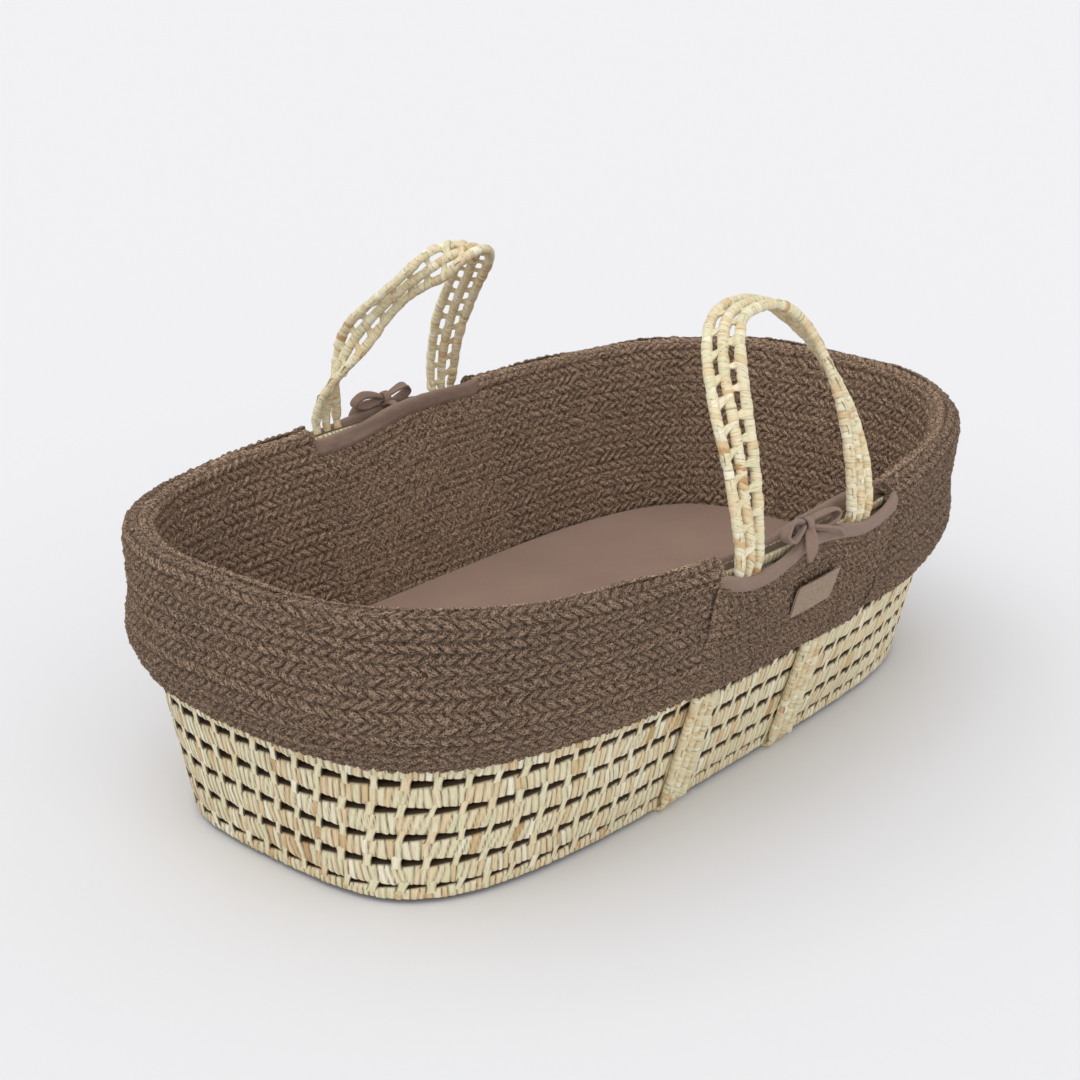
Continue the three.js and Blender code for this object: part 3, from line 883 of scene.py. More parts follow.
def knit_panel(build, controls, foot, first, last, step, flip, fold, fold_width=7.0,
               pitch=ROW_PITCH, stitch=STITCH_LENGTH, ribs=0.74, edge=None):
    """A closed knitted panel between two angles. flip says which way its face looks.

    Its ends are folded in by fold over fold_width. ribs is how deep the valleys between its rows are.
    """
    middle = (first + last) / 2
    line = catmull(controls, 24)
    at_middle = section_points(line, foot, np.array([middle]))[:, 0]
    line, drop = even_line(line, run_length(at_middle), step)
    angles, run = even_angles(lambda a: wall_point(a, rim_height(a)), first, last, step)
    base = section_points(line, foot, angles, edge)
    normals = grid_normals(base) * flip
    a, b = np.meshgrid(run, drop)
    height, grain, shade = knit_relief(a, b, pitch, stitch, ribs)
    swell = KNIT_SWELL * soft_field(a, b, 120)
    sides = edge_fade(run, fold_width)[None, :]
    lift = KNIT_RELIEF * (height - KNIT_LEVEL) * (0.35 + 0.65 * sides) + swell * sides - fold * (1 - sides)
    face = base + normals * lift[..., None]
    rows, cols = a.shape
    picks = np.unique(np.round(np.linspace(0, rows - 1, max(rows // BACK_EVERY, 3))).astype(int))
    back = (base - normals * KNIT_BACK)[picks]
    points = np.concatenate([face.reshape(-1, 3), back.reshape(-1, 3)])
    start = rows * cols
    first_row = np.arange(cols)
    last_row = first_row + (rows - 1) * cols
    back_first = first_row + start
    back_last = back_first + (len(picks) - 1) * cols
    quads = np.concatenate([
        grid_quads(rows, cols), grid_quads(len(picks), cols, start=start)[:, ::-1],
        np.stack([first_row[1:], first_row[:-1], back_first[:-1], back_first[1:]], -1),
        np.stack([last_row[:-1], last_row[1:], back_last[1:], back_last[:-1]], -1)])
    near_side, far_side = side_fan(rows, cols, picks, start, 0), side_fan(rows, cols, picks, start, cols - 1)
    tris = np.concatenate([near_side, far_side[:, ::-1]])
    if flip < 0:
        quads, tris = quads[:, ::-1], tris[:, ::-1]
    grain = np.concatenate([grain.reshape(-1, 3), grain[picks].reshape(-1, 3)])
    # painted shade: the gaps' shade eases towards the folded ends, and the back gets an even half of painted
    # shade
    shade = np.concatenate([(shade * (0.5 + 0.5 * sides)).ravel(), np.full(len(picks) * cols, 0.5)])
    build.add(points, quads, grain, shade, tris)


def side_fan(rows, cols, picks, start, col):
    """Triangles that close one side, between every face row and the few back rows."""
    nearest = np.searchsorted(picks, np.arange(rows), side="right") - 1
    tris = []
    for row in range(rows - 1):
        here, ahead = nearest[row], nearest[row + 1]
        tris.append((row * cols + col, (row + 1) * cols + col, start + here * cols + col))
        if ahead != here:
            tris.append(((row + 1) * cols + col, start + ahead * cols + col, start + here * cols + col))
    return np.array(tris)


def make_liner_ends():
    front, back = SLITS["front"], SLITS["back"]
    ends = {
        "right": (angle_at_x(front[1], -1), angle_at_x(back[1], 1)),
        "left": (angle_at_x(back[0], 1), angle_at_x(front[0], -1) + TAU),
    }
    for name, (first, last) in ends.items():
        skirt = Build()
        knit_panel(skirt, SKIRT_CONTROLS, hem_height, first, last, SKIRT_STEP, 1, fold=-2.4, fold_width=15)
        skirt = skirt.finish(f"knit_skirt_{name}", KNIT, "basket", "knit", [f"liner_end_{name}"])
        lining = Build()
        knit_panel(lining, LINING_CONTROLS, lining_foot, first, last, LINING_STEP, -1, fold=0.8)
        lining = lining.finish(f"knit_lining_{name}", KNIT_INSIDE, "basket", "knit", [f"liner_end_{name}"])


# For each kind of flap: controls of its section as an offset from the wall and a share of the way down,
# its foot, the side its face looks to, and its knit
FLAPS = {
    "outer": {
        "controls": [(20, 0), (21.5, 0.25), (23.5, 0.5), (24, 0.68), (21.5, 0.86), (17.5, 1.0)],
        "foot": hem_height, "step": SKIRT_STEP, "flip": 1, "material": KNIT,
        "knit": {"fold": 5.5, "fold_width": 14, "pitch": 7.2, "stitch": 7.0, "ribs": 0.7},
    },
    "inner": {
        "controls": [(-13, 0), (-13.5, 0.5), (-13.5, 1.0)],
        "foot": lining_foot, "step": LINING_STEP, "flip": -1, "material": KNIT_INSIDE,
        "knit": {"fold": 3.5, "fold_width": 12, "pitch": 6.6, "stitch": 6.4, "ribs": 0.65},
    },
}
FLAP_TUCK = 9.0  # how far a flap runs on under the liner's ends
FLAP_OVERLAP = 2.0  # how far it reaches up into its binding

# For each kind of binding: its half thickness and the side its face looks to
BINDING_FORMS = {"outer": {"half": 4.4, "out": 1}, "inner": {"half": 4.2, "out": -1}}
# For each binding: its middle's offset from the wall, its rises and falls along the slit from end to end,
# and how far its middle is drawn towards the rim by the bow
BINDINGS = {
    "outer_front": {"offset": 17.6, "rise": [5, -3, -3, 1.5, 6.5, 8, 4.5, -1, 0.5, 9], "draw": 5.5},
    "inner_front": {"offset": -10.6, "rise": [0, -3, -5, -5, -2, 1.5, 3, 3, 3, 4], "draw": 1.2},
    "outer_back": {"offset": 17.2, "rise": [4, 1, 2, 5, 8, 9, 7, 3, 1, 5], "draw": 5.0},
    "inner_back": {"offset": -10.6, "rise": [-7, -7, -6, -3, 1, 4, 5, 5, 4, 5], "draw": 1.2},
}
DRAW_REACH = 0.17  # the share of the slit that the bow draws in, to each side of the middle


def binding_shift(kind, slit, angles):
    """How far a binding is drawn out and up from its even line at each angle."""
    form = BINDINGS[f"{kind}_{slit}"]
    x = wall_point(angles, rim_height(angles))[:, 0]
    share = (x - SLITS[slit][0]) / (SLITS[slit][1] - SLITS[slit][0])
    curve = catmull(np.array(form["rise"], float)[:, None], 30)[:, 0]
    rise = np.interp(share, np.linspace(0, 1, len(curve)), curve)
    draw = form["draw"] * np.exp(-((share - 0.5) / DRAW_REACH) ** 2)
    return -BINDING_FORMS[kind]["out"] * draw, rise


def make_flaps():
    tuck = FLAP_TUCK / RIM_LENGTH
    for slit, side in SIDES.items():
        ends = sorted(angle_at_x(x, side) for x in SLITS[slit])
        first, last = ends[0] - tuck, ends[1] + tuck
        for kind, form in FLAPS.items():
            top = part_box(f"{kind}_binding_{slit}")[0][2] / MM + FLAP_OVERLAP
            controls = [(offset, (top - RIM_Z) * (1 - share), share) for offset, share in form["controls"]]
            flap = Build()
            knit_panel(flap, controls, form["foot"], first, last, form["step"], form["flip"],
                       edge=lambda angles: binding_shift(kind, slit, angles), **form["knit"])
            name, stands_for = f"knit_{kind}_flap_{slit}", f"liner_{kind}_flap_{slit}"
            flap = flap.finish(name, form["material"], "basket", "knit", [stands_for])


make_liner_ends()
make_flaps()


# ---------------------------------------------------------------- carry bands of three laced cords

BAND_PERIOD = 19.5  # from one lacing stitch to the next
CORD_STRIP = 5.4
CORD_SECTION = 16
CORD_SPACING = 12.7
HANDLE_CORD = 4.1  # half a handle cord's width
STRAP_SPACING = 13.4
STRAP_CORD = 4.1
UNDER_CORD = (4.3, 1.7)  # half the width and thickness of a strap's cords, pressed flat under the floor
LACING_OVER = 0.5  # how far the lacing stands out over the cords
LACING_PAST = 0.62  # how far past a cord's middle it goes round, as a share of the cord
LACING_WAIST = 1.3  # half its least thickness, over the gap
# A period's two stitches, over the first gap and the second: where each starts and ends, and its widths
LACINGS = [(-4.5, 3.0, (12.5, 7.0, 4.0)), (8.0, 9.5, (4.0, 6.0, 12.5))]
CORD_CROWN, CORD_LIFT, CORD_TILT = 0.24, 0.35, 0.30  # the relief of a cord's strips
HANDLE_SPREAD = 79.0  # half the distance between a handle's feet
# For each handle: its side, the middle between its feet, its height, its power as a superellipse, and how far
# it drifts along the basket, leans in degrees and bends inwards on its way up
ARCHES = {
    "front": {"side": -1, "centre": -17, "height": 181, "power": 2.73, "drift": -8, "lean": 3, "bend": 51.5},
    "back": {"side": 1, "centre": 20, "height": 170.5, "power": 1.8, "drift": 0, "lean": 3, "bend": 107},
}
HINGE_Y = 257.0
HINGE_Z = 243.0


class Band:
    """A band's middle line at even steps, its direction across and its face, for cords and lacing."""

    def __init__(self, points, across, step=1.0):
        lengths = run_length(points)
        self.points, self.run = even_line(points, lengths, step)
        across = columns_at(self.run, lengths, across)
        tangent = normalised(np.gradient(self.points, axis=0))
        across -= tangent * (across * tangent).sum(-1, keepdims=True)
        self.tangent, self.across = tangent, normalised(across)
        self.face = normalised(np.cross(self.tangent, self.across))

    def at(self, run):
        """Middle point, tangent, across and face at places along the band."""
        run = np.clip(run, 0, self.run[-1])
        fields = (self.points, self.tangent, self.across, self.face)
        return [columns_at(run, self.run, field) for field in fields]


def wrapped_cord(build, band, offsets, half_wide, half_thick, phase):
    """A cord wrapped in husk, beside a band's middle line, with a knob between each two lacings."""
    run = band.run
    cols = len(run)
    layout = strip_layout(run[-1] + 40, CORD_STRIP)
    turn = ring_angles(CORD_SECTION)
    knob = np.abs(np.sin(math.pi * (run - phase) / BAND_PERIOD)) ** 0.8
    slant = 1.6 * wave(cols, run[-1], 40)[None, :]
    along = run[None, :] + 10 + (1.2 + slant) * np.cos(turn)
    index, share, tint, lift, crown = strips_at(along, layout)
    relief = CORD_CROWN * crown + CORD_LIFT * lift + CORD_TILT * (share - 0.5)
    swell = (0.55 * (knob - 0.6) + 0.22 * wave(cols, run[-1], 9))[None, :]
    sway = 0.5 * wave(cols, run[-1], 33)[:, None] * band.across
    centre = band.points + band.across * offsets[:, None] + sway
    wide = (half_wide[None, :] + relief + swell) * np.cos(turn)
    thick = (half_thick[None, :] + (relief + swell) * (half_thick / half_wide)[None, :]) * np.sin(turn)
    points = centre[None] + band.across[None] * wide[..., None] + band.face[None] * thick[..., None]
    around = turn / TAU * 26 + index * 9.7
    grain = np.stack([along, around, tint + 0 * along], axis=-1)
    # painted shade: darker in the creases between the cord's strips
    build.add_tube(points, grain, np.clip(1 - crown, 0, 1) ** 4 * 0.8, flip=True)


def lacing(build, band, low, high, start, end, widths, cord):
    """A husk stitch from one cord, over the gap, to the next one, wrapped over both.

    low and high are the cords' places across the band, start and end are the stitch's places along it, and
    cord is half the cords' thickness.
    """
    reach = cord + LACING_OVER
    span = high - low
    past = LACING_PAST * reach / span
    v = np.linspace(-past, 1 + past, 17)
    point, tangent, across, face = band.at(start + (end - start) * np.clip(v, 0, 1))
    offset = low + span * v
    near = np.minimum(np.abs(offset - low), np.abs(offset - high))
    half_thick = np.maximum(np.sqrt(np.clip(reach ** 2 - near ** 2, 0, None)), LACING_WAIST)
    width = np.interp(v, (0, 0.5, 1), widths) * (1 + 0.08 * rng.normal(size=1))
    turn = ring_angles(12)
    flat, deep = signed_power(np.cos(turn), 0.6), signed_power(np.sin(turn), 0.6)
    centre = point + across * offset[:, None]
    crease = 0.25 * np.cos(flat * 5 + rng.uniform(0, TAU))
    points = (centre[None] + tangent[None] * (flat * width / 2)[..., None]
              + face[None] * (deep * (half_thick + crease))[..., None])
    tint = np.clip(rng.normal(0.66, 0.17), 0.05, 1)
    across_grain = flat * width / 2 + rng.uniform(0, 90)
    grain = np.stack([across_grain, offset[None, :] + 0 * flat, tint + 0 * flat * width], -1)
    # painted shade: darker at the stitch's edges
    build.add_tube(points, grain, np.abs(flat) ** 6 * 0.5 + 0 * width)


def laced_band(build, band, spacing, half_wide, half_thick, first, last):
    """Three cords and the lacing between them. Lacing runs from first to last along the band."""
    for side in (-1, 0, 1):
        phase = first + 0.33 * BAND_PERIOD * side
        wrapped_cord(build, band, side * spacing, half_wide, half_thick, phase)
    for place in np.arange(first, last, BAND_PERIOD):
        place = place + rng.normal(0, 0.5)
        near = int(np.clip(np.searchsorted(band.run, place), 0, len(band.run) - 1))
        gap, cord = spacing[near], half_thick[near]
        for low, (start, end, widths) in zip((-gap, 0), LACINGS):
            lacing(build, band, low, low + gap, place + start, place + end, widths, cord)


def arch_point(arch, share):
    """The middle of a handle's band, a share of the way from its left foot to its right, and its rise."""
    across = -signed_power(np.cos(math.pi * share), 2 / arch["power"]) * HANDLE_SPREAD
    rise = np.sin(math.pi * share) ** (2 / arch["power"])
    lean = math.radians(arch["lean"])
    inward = arch["height"] * rise * math.sin(lean) + arch["bend"] * rise ** 2
    x = arch["centre"] + across + arch["drift"] * rise ** 2
    y = arch["side"] * (HINGE_Y - inward)
    return np.stack([x, y, HINGE_Z + arch["height"] * rise * math.cos(lean)], axis=-1), rise


TWIST = {-1: 1.9, 1: 0.6}  # how late each side's band turns from lying along the rim to lying across it
OVER_BY = 0.75  # the share of its height by which the back handle's left leg has turned over
OVER_TURN = math.radians(155)  # its turn there, which is back at a quarter turn at the top
ARCH_STEPS = 3001
FOOT_BELOW = 20.0  # how far a handle's cords run down behind the binding, below the hinge


def band_turn(arch, share, rise):
    """How far the band has turned at each point. The back handle's left leg turns over as it rises."""
    turn = math.pi / 2 * rise ** TWIST[arch["side"]]
    if arch["side"] < 0:
        return turn
    over = OVER_TURN * smooth(np.clip(rise / OVER_BY, 0, 1))
    level = (OVER_TURN - math.pi / 2) * np.clip((rise - OVER_BY) / (1 - OVER_BY), 0, 1) ** 2
    return np.where(share < 0.5, over - level, turn)


def handle_band(arch):
    share = np.linspace(1e-4, 1 - 1e-4, ARCH_STEPS)
    points, rise = arch_point(arch, share)
    turn = band_turn(arch, share, rise)
    side = arch["side"]
    towards = np.where(share < 0.5, 1.0, -1.0)
    across = np.stack([towards * np.cos(turn), side * np.sin(turn), 0 * turn], axis=-1)
    drop = np.linspace(FOOT_BELOW, 0, 40)[:, None][:-1]
    sink = np.array([0, -side * 0.20, -1.0])
    first = points[:1] + drop * sink
    last = (points[-1:] + drop * sink)[::-1]
    points = np.concatenate([first, points, last])
    across = np.pad(across, ((len(first), len(last)), (0, 0)), mode="edge")
    return Band(points, across)


def make_handles():
    for name, arch in ARCHES.items():
        band = handle_band(arch)
        build = Build()
        run = band.run
        spacing = np.full(run.shape, CORD_SPACING)
        hidden = (run < FOOT_BELOW) | (run > run[-1] - FOOT_BELOW)
        wide = HANDLE_CORD - 0.5 * hidden  # the cords are slimmer behind the binding
        wide = np.convolve(np.pad(wide, 6, mode="edge"), np.ones(13) / 13, mode="valid")
        laced_band(build, band, spacing, wide, wide * 0.97, FOOT_BELOW + 9, run[-1] - FOOT_BELOW - 4)
        cords = [f"handle_{name}_{part}_cord" for part in ("inner", "middle", "outer")]
        piece = build.finish(f"husk_handle_{name}", HUSK_CORD, None, "straw", cords)
        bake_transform(piece)


STRAP_OUT = 9.6  # from the wall's middle out to the strap's
STRAP_TOP = 233.0
STRAP_SKEW = 0.072  # how far a strap runs along the basket for each mm across it
STRAP_UNDER = 2.1  # the height of its middle under the floor
# Its turn from the wall to the floor: places across, from its foot, and heights
STRAP_TURN = [(1.6, 16.0), (-0.6, 8.0), (-8.0, 3.6), (-20, 2.3), (-40, STRAP_UNDER)]


def strap_line(centre):
    """The line of a strap: down the front wall, under the floor and up the back wall."""
    lean = (RIM_WIDTH - FOOT_WIDTH) / (RIM_Z - FOOT_Z)
    foot = FOOT_WIDTH + STRAP_OUT
    half_line = [(foot + lean * (z - FOOT_Z), z) for z in np.linspace(STRAP_TOP, 26, 24)]
    half_line += [(foot + out, z) for out, z in STRAP_TURN]
    half_line += [(y, STRAP_UNDER) for y in np.linspace(foot - 60, 0, 8)]
    half_line = np.array(half_line)
    other = half_line[::-1][1:] * (-1, 1)
    line = np.concatenate([half_line, other])
    y, z = -line[:, 0], line[:, 1]
    x = centre + 1.5 + STRAP_SKEW * y
    length, width, power = wall_shape(np.clip((z - FOOT_Z) / (RIM_Z - FOOT_Z), 0, 1))
    bulge = width * (1 - (1 - np.abs(x / length) ** power) ** (1 / power))
    y = y - np.sign(y) * bulge * (np.abs(y) > 100)
    return catmull(np.stack([x, y, z], axis=-1), 14)


def make_straps():
    for name, centre in (("left", -HANDLE_SPREAD), ("right", HANDLE_SPREAD)):
        points = strap_line(centre)
        band = Band(points, np.broadcast_to([1.0, STRAP_SKEW, 0], points.shape).copy())
        height = band.points[:, 2]
        share = smooth(np.clip((height - 3) / 16, 0, 1))
        wide = UNDER_CORD[0] + (STRAP_CORD - UNDER_CORD[0]) * share
        thick = UNDER_CORD[1] + (STRAP_CORD - 0.2 - UNDER_CORD[1]) * share
        spacing = np.full(height.shape, STRAP_SPACING)
        build = Build()
        laced_band(build, band, spacing, wide, thick, 6.0, band.run[-1] - 12)
        build.finish(f"husk_strap_{name}", HUSK_CORD, "basket", "straw", [f"carry_strap_{name}"])


make_handles()
make_straps()


# ---------------------------------------------------------------- coiled floor

FLOOR_COILS = 6
FLOOR_FIRST = 5.85  # from the foot's line in to the first coil's outer edge
FLOOR_CENTRE = 23.3  # half the width that the doubled centre coil fills
FLOOR_STEP = 1.8


def floor_coil(name, middle_inset, half_width):
    angles, lengths = even_angles(lambda a: floor_point(a, middle_inset, 10.0), 0, TAU, FLOOR_STEP)
    angles, lengths = angles[:-1], lengths[:-1]
    centre = floor_point(angles, middle_inset, sum(BASE_RING) / 2)
    along = normalised(np.roll(centre, -1, 0) - np.roll(centre, 1, 0))
    out = np.broadcast_to([0.0, 0.0, -1.0], centre.shape)
    up = np.cross(out, along)
    build = Build()
    coil_row(build, centre, up, out, lengths, np.full((1, len(lengths)), half_width), COIL_DEEP)
    build.finish(f"husk_{name}", HUSK, "basket", "straw", [name])


def make_floor_coils():
    pitch = (FOOT_WIDTH - FLOOR_FIRST - FLOOR_CENTRE) / FLOOR_COILS
    for number in range(FLOOR_COILS):
        floor_coil(f"floor_coil_{number + 1}", FLOOR_FIRST + pitch * (number + 0.5), pitch / 2 - 1.0)
    floor_coil("floor_centre_coil", FOOT_WIDTH - FLOOR_CENTRE / 2, FLOOR_CENTRE / 2 - 0.4)


make_floor_coils()


# ---------------------------------------------------------------- jersey bindings

BINDING_SECTION = 28
BINDING_STEP = 1.1
BINDING_TUCK = 0.018  # radians of the rim that its ends run on under the roll
BINDING_DIP = 11.0  # how far its ends sink in under the roll
BINDING_SLIM = 0.86  # its height as a share of its CAD band's
SEAM_LOW, SEAM_HIGH = -0.86, -0.55  # the stitched ridges along the lower edge of its face


def make_binding(kind, slit):
    """A jersey binding along a slit: a soft rope, flattened, with a stitched seam low on its face."""
    form, place = BINDING_FORMS[kind], BINDINGS[f"{kind}_{slit}"]
    node_name = f"{kind}_binding_{slit}"
    low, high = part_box(node_name)
    middle_z, half_height = (low[2] + high[2]) / 2 / MM, (high[2] - low[2]) / 2 / MM
    ends = sorted(angle_at_x(x, SIDES[slit]) for x in SLITS[slit])
    first, last = ends[0] - BINDING_TUCK, ends[1] + BINDING_TUCK
    angles, run = even_angles(lambda a: wall_point(a, rim_height(a)), first, last, BINDING_STEP)
    out, rise = binding_shift(kind, slit, angles)
    turn = ring_angles(BINDING_SECTION)
    tall, deep = signed_power(np.sin(turn), 0.75), signed_power(np.cos(turn), 0.75)
    tuck = edge_fade(run, 17.0)[None, :]
    along = run[None, :] + 0 * turn
    rope = 0.22 * soft_field(along, turn * 6, 13) + 0.45 * soft_field(along, turn * 4, 60)
    on_face = np.clip(np.cos(turn) * 3, 0, 1)
    low_ridge = np.exp(-((tall - SEAM_LOW) / 0.10) ** 2)
    high_ridge = 0.75 * np.exp(-((tall - SEAM_HIGH) / 0.09) ** 2)
    ridge = (low_ridge + high_ridge) * on_face
    groove = np.exp(-((tall - (SEAM_LOW + SEAM_HIGH) / 2) / 0.07) ** 2) * on_face
    stitches = 0.5 + 0.5 * np.cos(TAU * run / 3.2)[None, :]
    lift = rope + ridge * (0.75 + 0.25 * stitches) - 0.5 * groove
    depth = (form["half"] + lift) * deep * (0.55 + 0.45 * tuck)
    height = (half_height * BINDING_SLIM * (0.93 + 0.07 * tuck) + 0.5 * rope) * tall
    offset = place["offset"] + out[None, :] + form["out"] * (depth - BINDING_DIP * (1 - tuck))
    points = wall_point(angles[None, :], middle_z + rise[None, :] + height, offset)
    grain = np.stack([along, height + half_height, 0.5 + 0 * height], axis=-1)
    shade = np.clip(0.75 * groove + 0.2 * ridge * (1 - stitches), 0, 1)
    build = Build()
    build.add_tube(points, grain, shade, flip=form["out"] > 0)
    piece = build.finish(f"jersey_{node_name}", JERSEY, "basket", "jersey", [node_name])


for slit_name in SLITS:
    make_binding("outer", slit_name)
    make_binding("inner", slit_name)


# ---------------------------------------------------------------- bows of jersey ribbon

RIBBON_SECTION = 20
RIBBON_STEP = 0.9


def ribbon(build, path, widths, width_ways, thick=1.5):
    """A closed flat ribbon along a path. width_ways are its width's directions at the path's points."""
    line = catmull(path, 16)
    knots = np.arange(len(path))
    spans = np.linspace(0, len(path) - 1, len(line))
    ways = columns_at(spans, knots, np.asarray(width_ways, float))
    wide = np.interp(spans, knots, widths)
    lengths = run_length(line)
    run = np.linspace(0, lengths[-1], max(int(lengths[-1] / RIBBON_STEP), 8))
    line, ways = columns_at(run, lengths, line), columns_at(run, lengths, ways)
    wide = np.interp(run, lengths, wide)
    tangent = normalised(np.gradient(line, axis=0))
    ways = normalised(ways - tangent * (ways * tangent).sum(-1, keepdims=True))
    face = np.cross(tangent, ways)
    turn = ring_angles(RIBBON_SECTION)
    flat, deep = signed_power(np.cos(turn), 0.7), signed_power(np.sin(turn), 0.8)
    curl = 0.9 * flat ** 2 - 0.3
    fold = 0.35 * soft_field(run[None, :] + 0 * turn, flat * 6, 16)
    depth = deep * thick * (1 + 0.25 * (np.abs(flat) > 0.6)) + curl + fold
    points = line[None] + ways[None] * (flat * wide / 2)[..., None] + face[None] * depth[..., None]
    grain = np.stack([flat * wide / 2, run[None, :] + 0 * flat, 0.5 + 0 * flat * wide], axis=-1)
    shade = 0.25 * np.clip(1 - np.abs(np.abs(flat) - 0.78) * 12, 0, 1) + 0 * wide
    build.add_tube(points, grain, shade)


def bow_ribbons(build, middle, side, lean):
    """A bow tied over the rim: two loops, two tails, the knot round them and the tie below.

    lean is 1 for tails that hang to the left and lie to the right, and -1 for the other way round.
    """
    def place(points, sway=1):
        x, y, z = np.asarray(points, float).T
        return np.stack([middle[0] + x * sway, middle[1] + side * y, middle[2] + z], axis=-1)

    across, upright = (0, side, 0.25), (0, side, 0.9)
    right = [(1, 4, 1), (12, 5, 4), (25, 7, 6), (34, 9, 5), (37, 10, 0)]
    right += [(32, 11, -5), (20, 9, -6), (8, 6, -3), (1, 4, 0)]
    left = [(-1, 4, 1), (-12, 5, 6), (-24, 7, 8), (-33, 9, 5), (-36, 10, 0)]
    left += [(-30, 11, -4), (-18, 9, -4), (-7, 6, -1), (-1, 4, 0)]
    ribbon(build, place(right), [5, 7, 9, 10, 10, 10, 9, 7, 5], [across] * 4 + [upright] * 2 + [across] * 3)
    ribbon(build, place(left), [5, 7, 9, 9.5, 10, 9.5, 9, 7, 5], [upright] * 3 + [across] * 3 + [upright] * 3)
    hanging = [(0, 6, -1), (-5, 12, -3), (-10, 17, -8), (-14, 19.5, -15), (-18, 20.5, -23)]
    lying = [(0, 6, -1), (9, 11, -3), (18, 15, -5), (27, 17.5, -9), (33, 18.5, -14)]
    ribbon(build, place(hanging, lean), [5, 9, 11, 11, 3], [(0.9, side * 0.2, 0.4)] * 5)
    ribbon(build, place(lying, lean), [5, 8, 9, 9, 5], [(0.1, side, 0.6)] * 5)
    knot = [(0.4 * math.cos(t), 4 + 5.2 * math.sin(t), 6.0 * math.cos(t)) for t in np.linspace(0, TAU, 13)]
    ribbon(build, place(knot), [8.5] * 13, [(1, 0, 0)] * 13)
    tie = [(1, -12, -5), (1, -6, -2), (0, 0, -3.5), (-1, 7, -7), (-1, 11, -14)]
    ribbon(build, place(tie), [8] * 5, [(1, 0, 0)] * 5, 1.2)


BOWS = {"front": (-14, 1.0), "back": (16, -1.0)}  # for each bow: its place along the basket and its lean
BOW_RISE = 6.5  # from the lowest point of its CAD solid up to its middle


def make_bows():
    for slit, (x, lean) in BOWS.items():
        low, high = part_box(f"bow_{slit}")
        middle = (x, (low[1] + high[1]) / 2 / MM, low[2] / MM + BOW_RISE)
        build = Build()
        bow_ribbons(build, middle, SIDES[slit], lean)
        piece = build.finish(f"jersey_bow_{slit}", JERSEY, "basket", "jersey", [f"bow_{slit}"])


make_bows()


# ---------------------------------------------------------------- label patch

LABEL_LENGTH, LABEL_HEIGHT, LABEL_THICK = 60.0, 30.0, 1.7
LABEL_CORNER = 3.0
LABEL_MIDDLE = (3.0, 186.0)  # along the basket and up
LABEL_TILT = math.radians(2)
LABEL_OUT = 24.9  # from the wall's middle


def make_label():
    u = np.linspace(-1, 1, 61)[None, :]
    v = np.linspace(-1, 1, 31)[:, None]
    half_length, half_height = LABEL_LENGTH / 2, LABEL_HEIGHT / 2
    past_u = np.clip(np.abs(u) * half_length - (half_length - LABEL_CORNER), 0, None)
    past_v = np.clip(np.abs(v) * half_height - (half_height - LABEL_CORNER), 0, None)
    corner = np.clip(np.hypot(past_u, past_v) - LABEL_CORNER, 0, None)
    a = u * half_length - np.sign(u) * corner + 0 * v
    b = v * half_height - np.sign(v) * corner + 0 * u
    x = LABEL_MIDDLE[0] + a * math.cos(LABEL_TILT) - b * math.sin(LABEL_TILT)
    z = LABEL_MIDDLE[1] + a * math.sin(LABEL_TILT) + b * math.cos(LABEL_TILT)
    angle = np.arctan2(-(1 - np.abs(x / RIM_LENGTH) ** RIM_POWER) ** (1 / RIM_POWER), x / RIM_LENGTH)
    lifted = 1.1 * np.clip(v, 0, 1) ** 3 * (1 + 0.3 * np.cos(3 * u)) + 0.25 * soft_field(a, b, 30)
    edge = np.clip(np.maximum(np.abs(u) - 0.93, (np.abs(v) - 0.88)) / 0.1, 0, 1)
    base = LABEL_OUT + lifted
    face = wall_point(angle, z, base + LABEL_THICK / 2 - 0.35 * edge ** 2)
    back = wall_point(angle, z, base - LABEL_THICK / 2)
    grain = np.stack([a, b, 0.5 + 0 * a], axis=-1).reshape(-1, 3)
    shade = edge.ravel() * 0.6
    build = Build()
    build.add_slab(face, back, grain, shade, shade)
    build.finish("suede_label", SUEDE, "basket", "label", ["label_patch"])


make_label()


# ---------------------------------------------------------------- mattress, fitted sheet and base panel

def mirrored_angles(step):
    """Even angles round the oval, in an even number and the same on both of its sides."""
    angles, _ = even_angles(lambda a: wall_point(a, 60.0), 0, math.pi, step)
    return np.concatenate([angles, TAU - angles[-2:0:-1]])


def oval_pad(build, section, step, ruffle=0.0):
    """A closed pad: rings of (offset, height, share towards the middle), from below to the top.

    ruffle is how far its surface waves up and down, the most on its top.
    """
    angles = mirrored_angles(step)
    rings = []
    for offset, z, share in section:
        ring = wall_point(angles, z, offset)
        middle = ring * (1, 0.0, 0) * 0.5 + (0, 0, z)
        ring = ring + (middle - ring) * share
        rings.append(ring)
    points = np.stack(rings)
    x, y = points[..., 0], points[..., 1]
    if ruffle:
        top = np.array([1.0 if share > 0 else 0.3 for _, _, share in section])[:, None]
        points[..., 2] += ruffle * top * soft_field(x, y, 150)
    grain = np.stack([x, y, 0.5 + 0 * x], axis=-1)
    rows, cols = points.shape[:2]
    quads = grid_quads(rows, cols, False, True)[:, ::-1]
    across, ends = cross_cap(cols)
    last_ring = (rows - 1) * cols
    quads = np.concatenate([quads, across[:, ::-1], across + last_ring])
    tris = np.concatenate([ends[:, ::-1], ends + last_ring])
    build.add(points, quads, grain.reshape(-1, 3), np.zeros(rows * cols), tris)


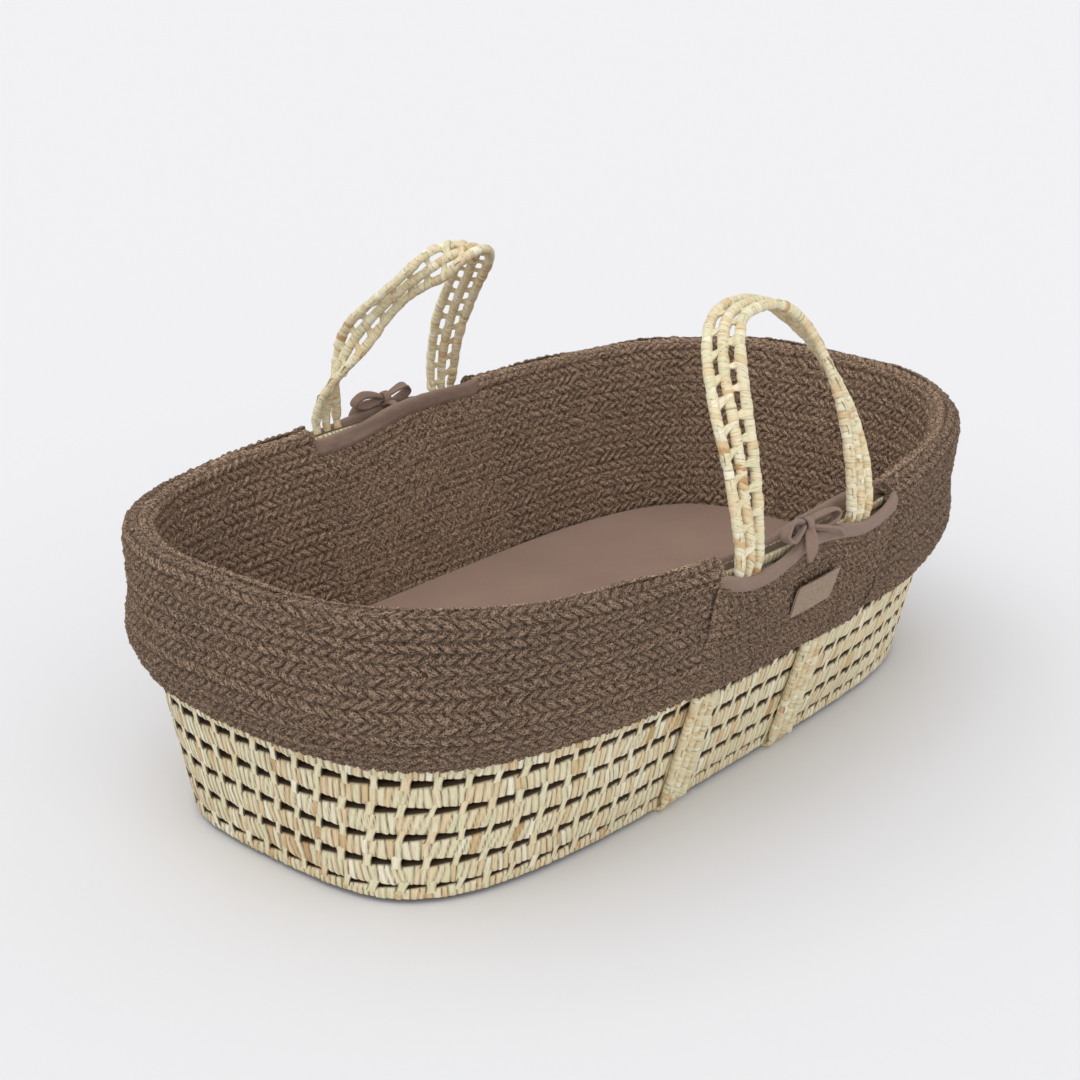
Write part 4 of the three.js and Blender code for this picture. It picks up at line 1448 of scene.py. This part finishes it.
def cross_cap(cols):
    """Quads over a ring that join each point to the one across it, and a triangle at each end."""
    near = np.arange(1, cols // 2 - 1)
    half_way = cols // 2
    quads = np.stack([near, near + 1, cols - near - 1, cols - near], -1)
    return quads, np.array([(0, 1, cols - 1), (half_way - 1, half_way, half_way + 1)])


def rounded_top(offset, bottom, top, radius):
    """Rings up a side, round its upper edge and in over the top to the middle."""
    rings = [(offset, z, 0) for z in np.linspace(bottom, top - radius, 8)]
    for t in np.linspace(0, math.pi / 2, 9)[1:]:
        rings.append((offset - radius * (1 - math.cos(t)), top - radius * (1 - math.sin(t)), 0))
    rings += [(offset - radius, top, share) for share in np.linspace(0, 0.97, 70)[1:]]
    return rings


# Heights, the side's offset from the wall's middle, the edge's radius and the sheet's thickness
MATTRESS = {"bottom": 28.8, "top": 86.0, "offset": -14.8, "edge": 10.0, "cover": 1.6}


def make_mattress():
    form = MATTRESS
    offset, bottom, top, cover = form["offset"], form["bottom"], form["top"], form["cover"]
    sheet = Build()
    oval_pad(sheet, rounded_top(offset, bottom, top, form["edge"]), step=4.0, ruffle=0.7)
    sheet.points[0][:, 2] = np.maximum(sheet.points[0][:, 2], bottom)
    piece = sheet.finish("fitted_sheet_jersey", SHEET, "mattress", "jersey", ["fitted_sheet"])
    core = Build()
    oval_pad(core, rounded_top(offset - cover, bottom, top - cover, form["edge"] - 1), step=8.0)
    piece = core.finish("mattress_foam", TICKING, "mattress", "mattress", ["mattress_core"])


PANEL_BELOW, PANEL_ABOVE = -16.0, -13.0  # offsets of the edges of its flat underside and top


def make_base_panel():
    low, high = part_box("liner_base_panel")
    bottom, top = low[2] / MM, high[2] / MM
    panel = Build()
    rings = [(PANEL_BELOW, bottom + 1.0, share) for share in np.linspace(0.97, 0, 20)]
    rings += [(-11.0, bottom, 0), (-7.6, bottom + 4, 0), (-7.2, top - 5, 0), (-9.5, top - 1, 0)]
    rings += [(PANEL_ABOVE, top, share) for share in np.linspace(0, 0.97, 30)]
    oval_pad(panel, rings, step=6.0, ruffle=0.3)
    piece = panel.finish("jersey_base_panel", JERSEY, "basket", "jersey", ["liner_base_panel"])


make_mattress()
make_base_panel()
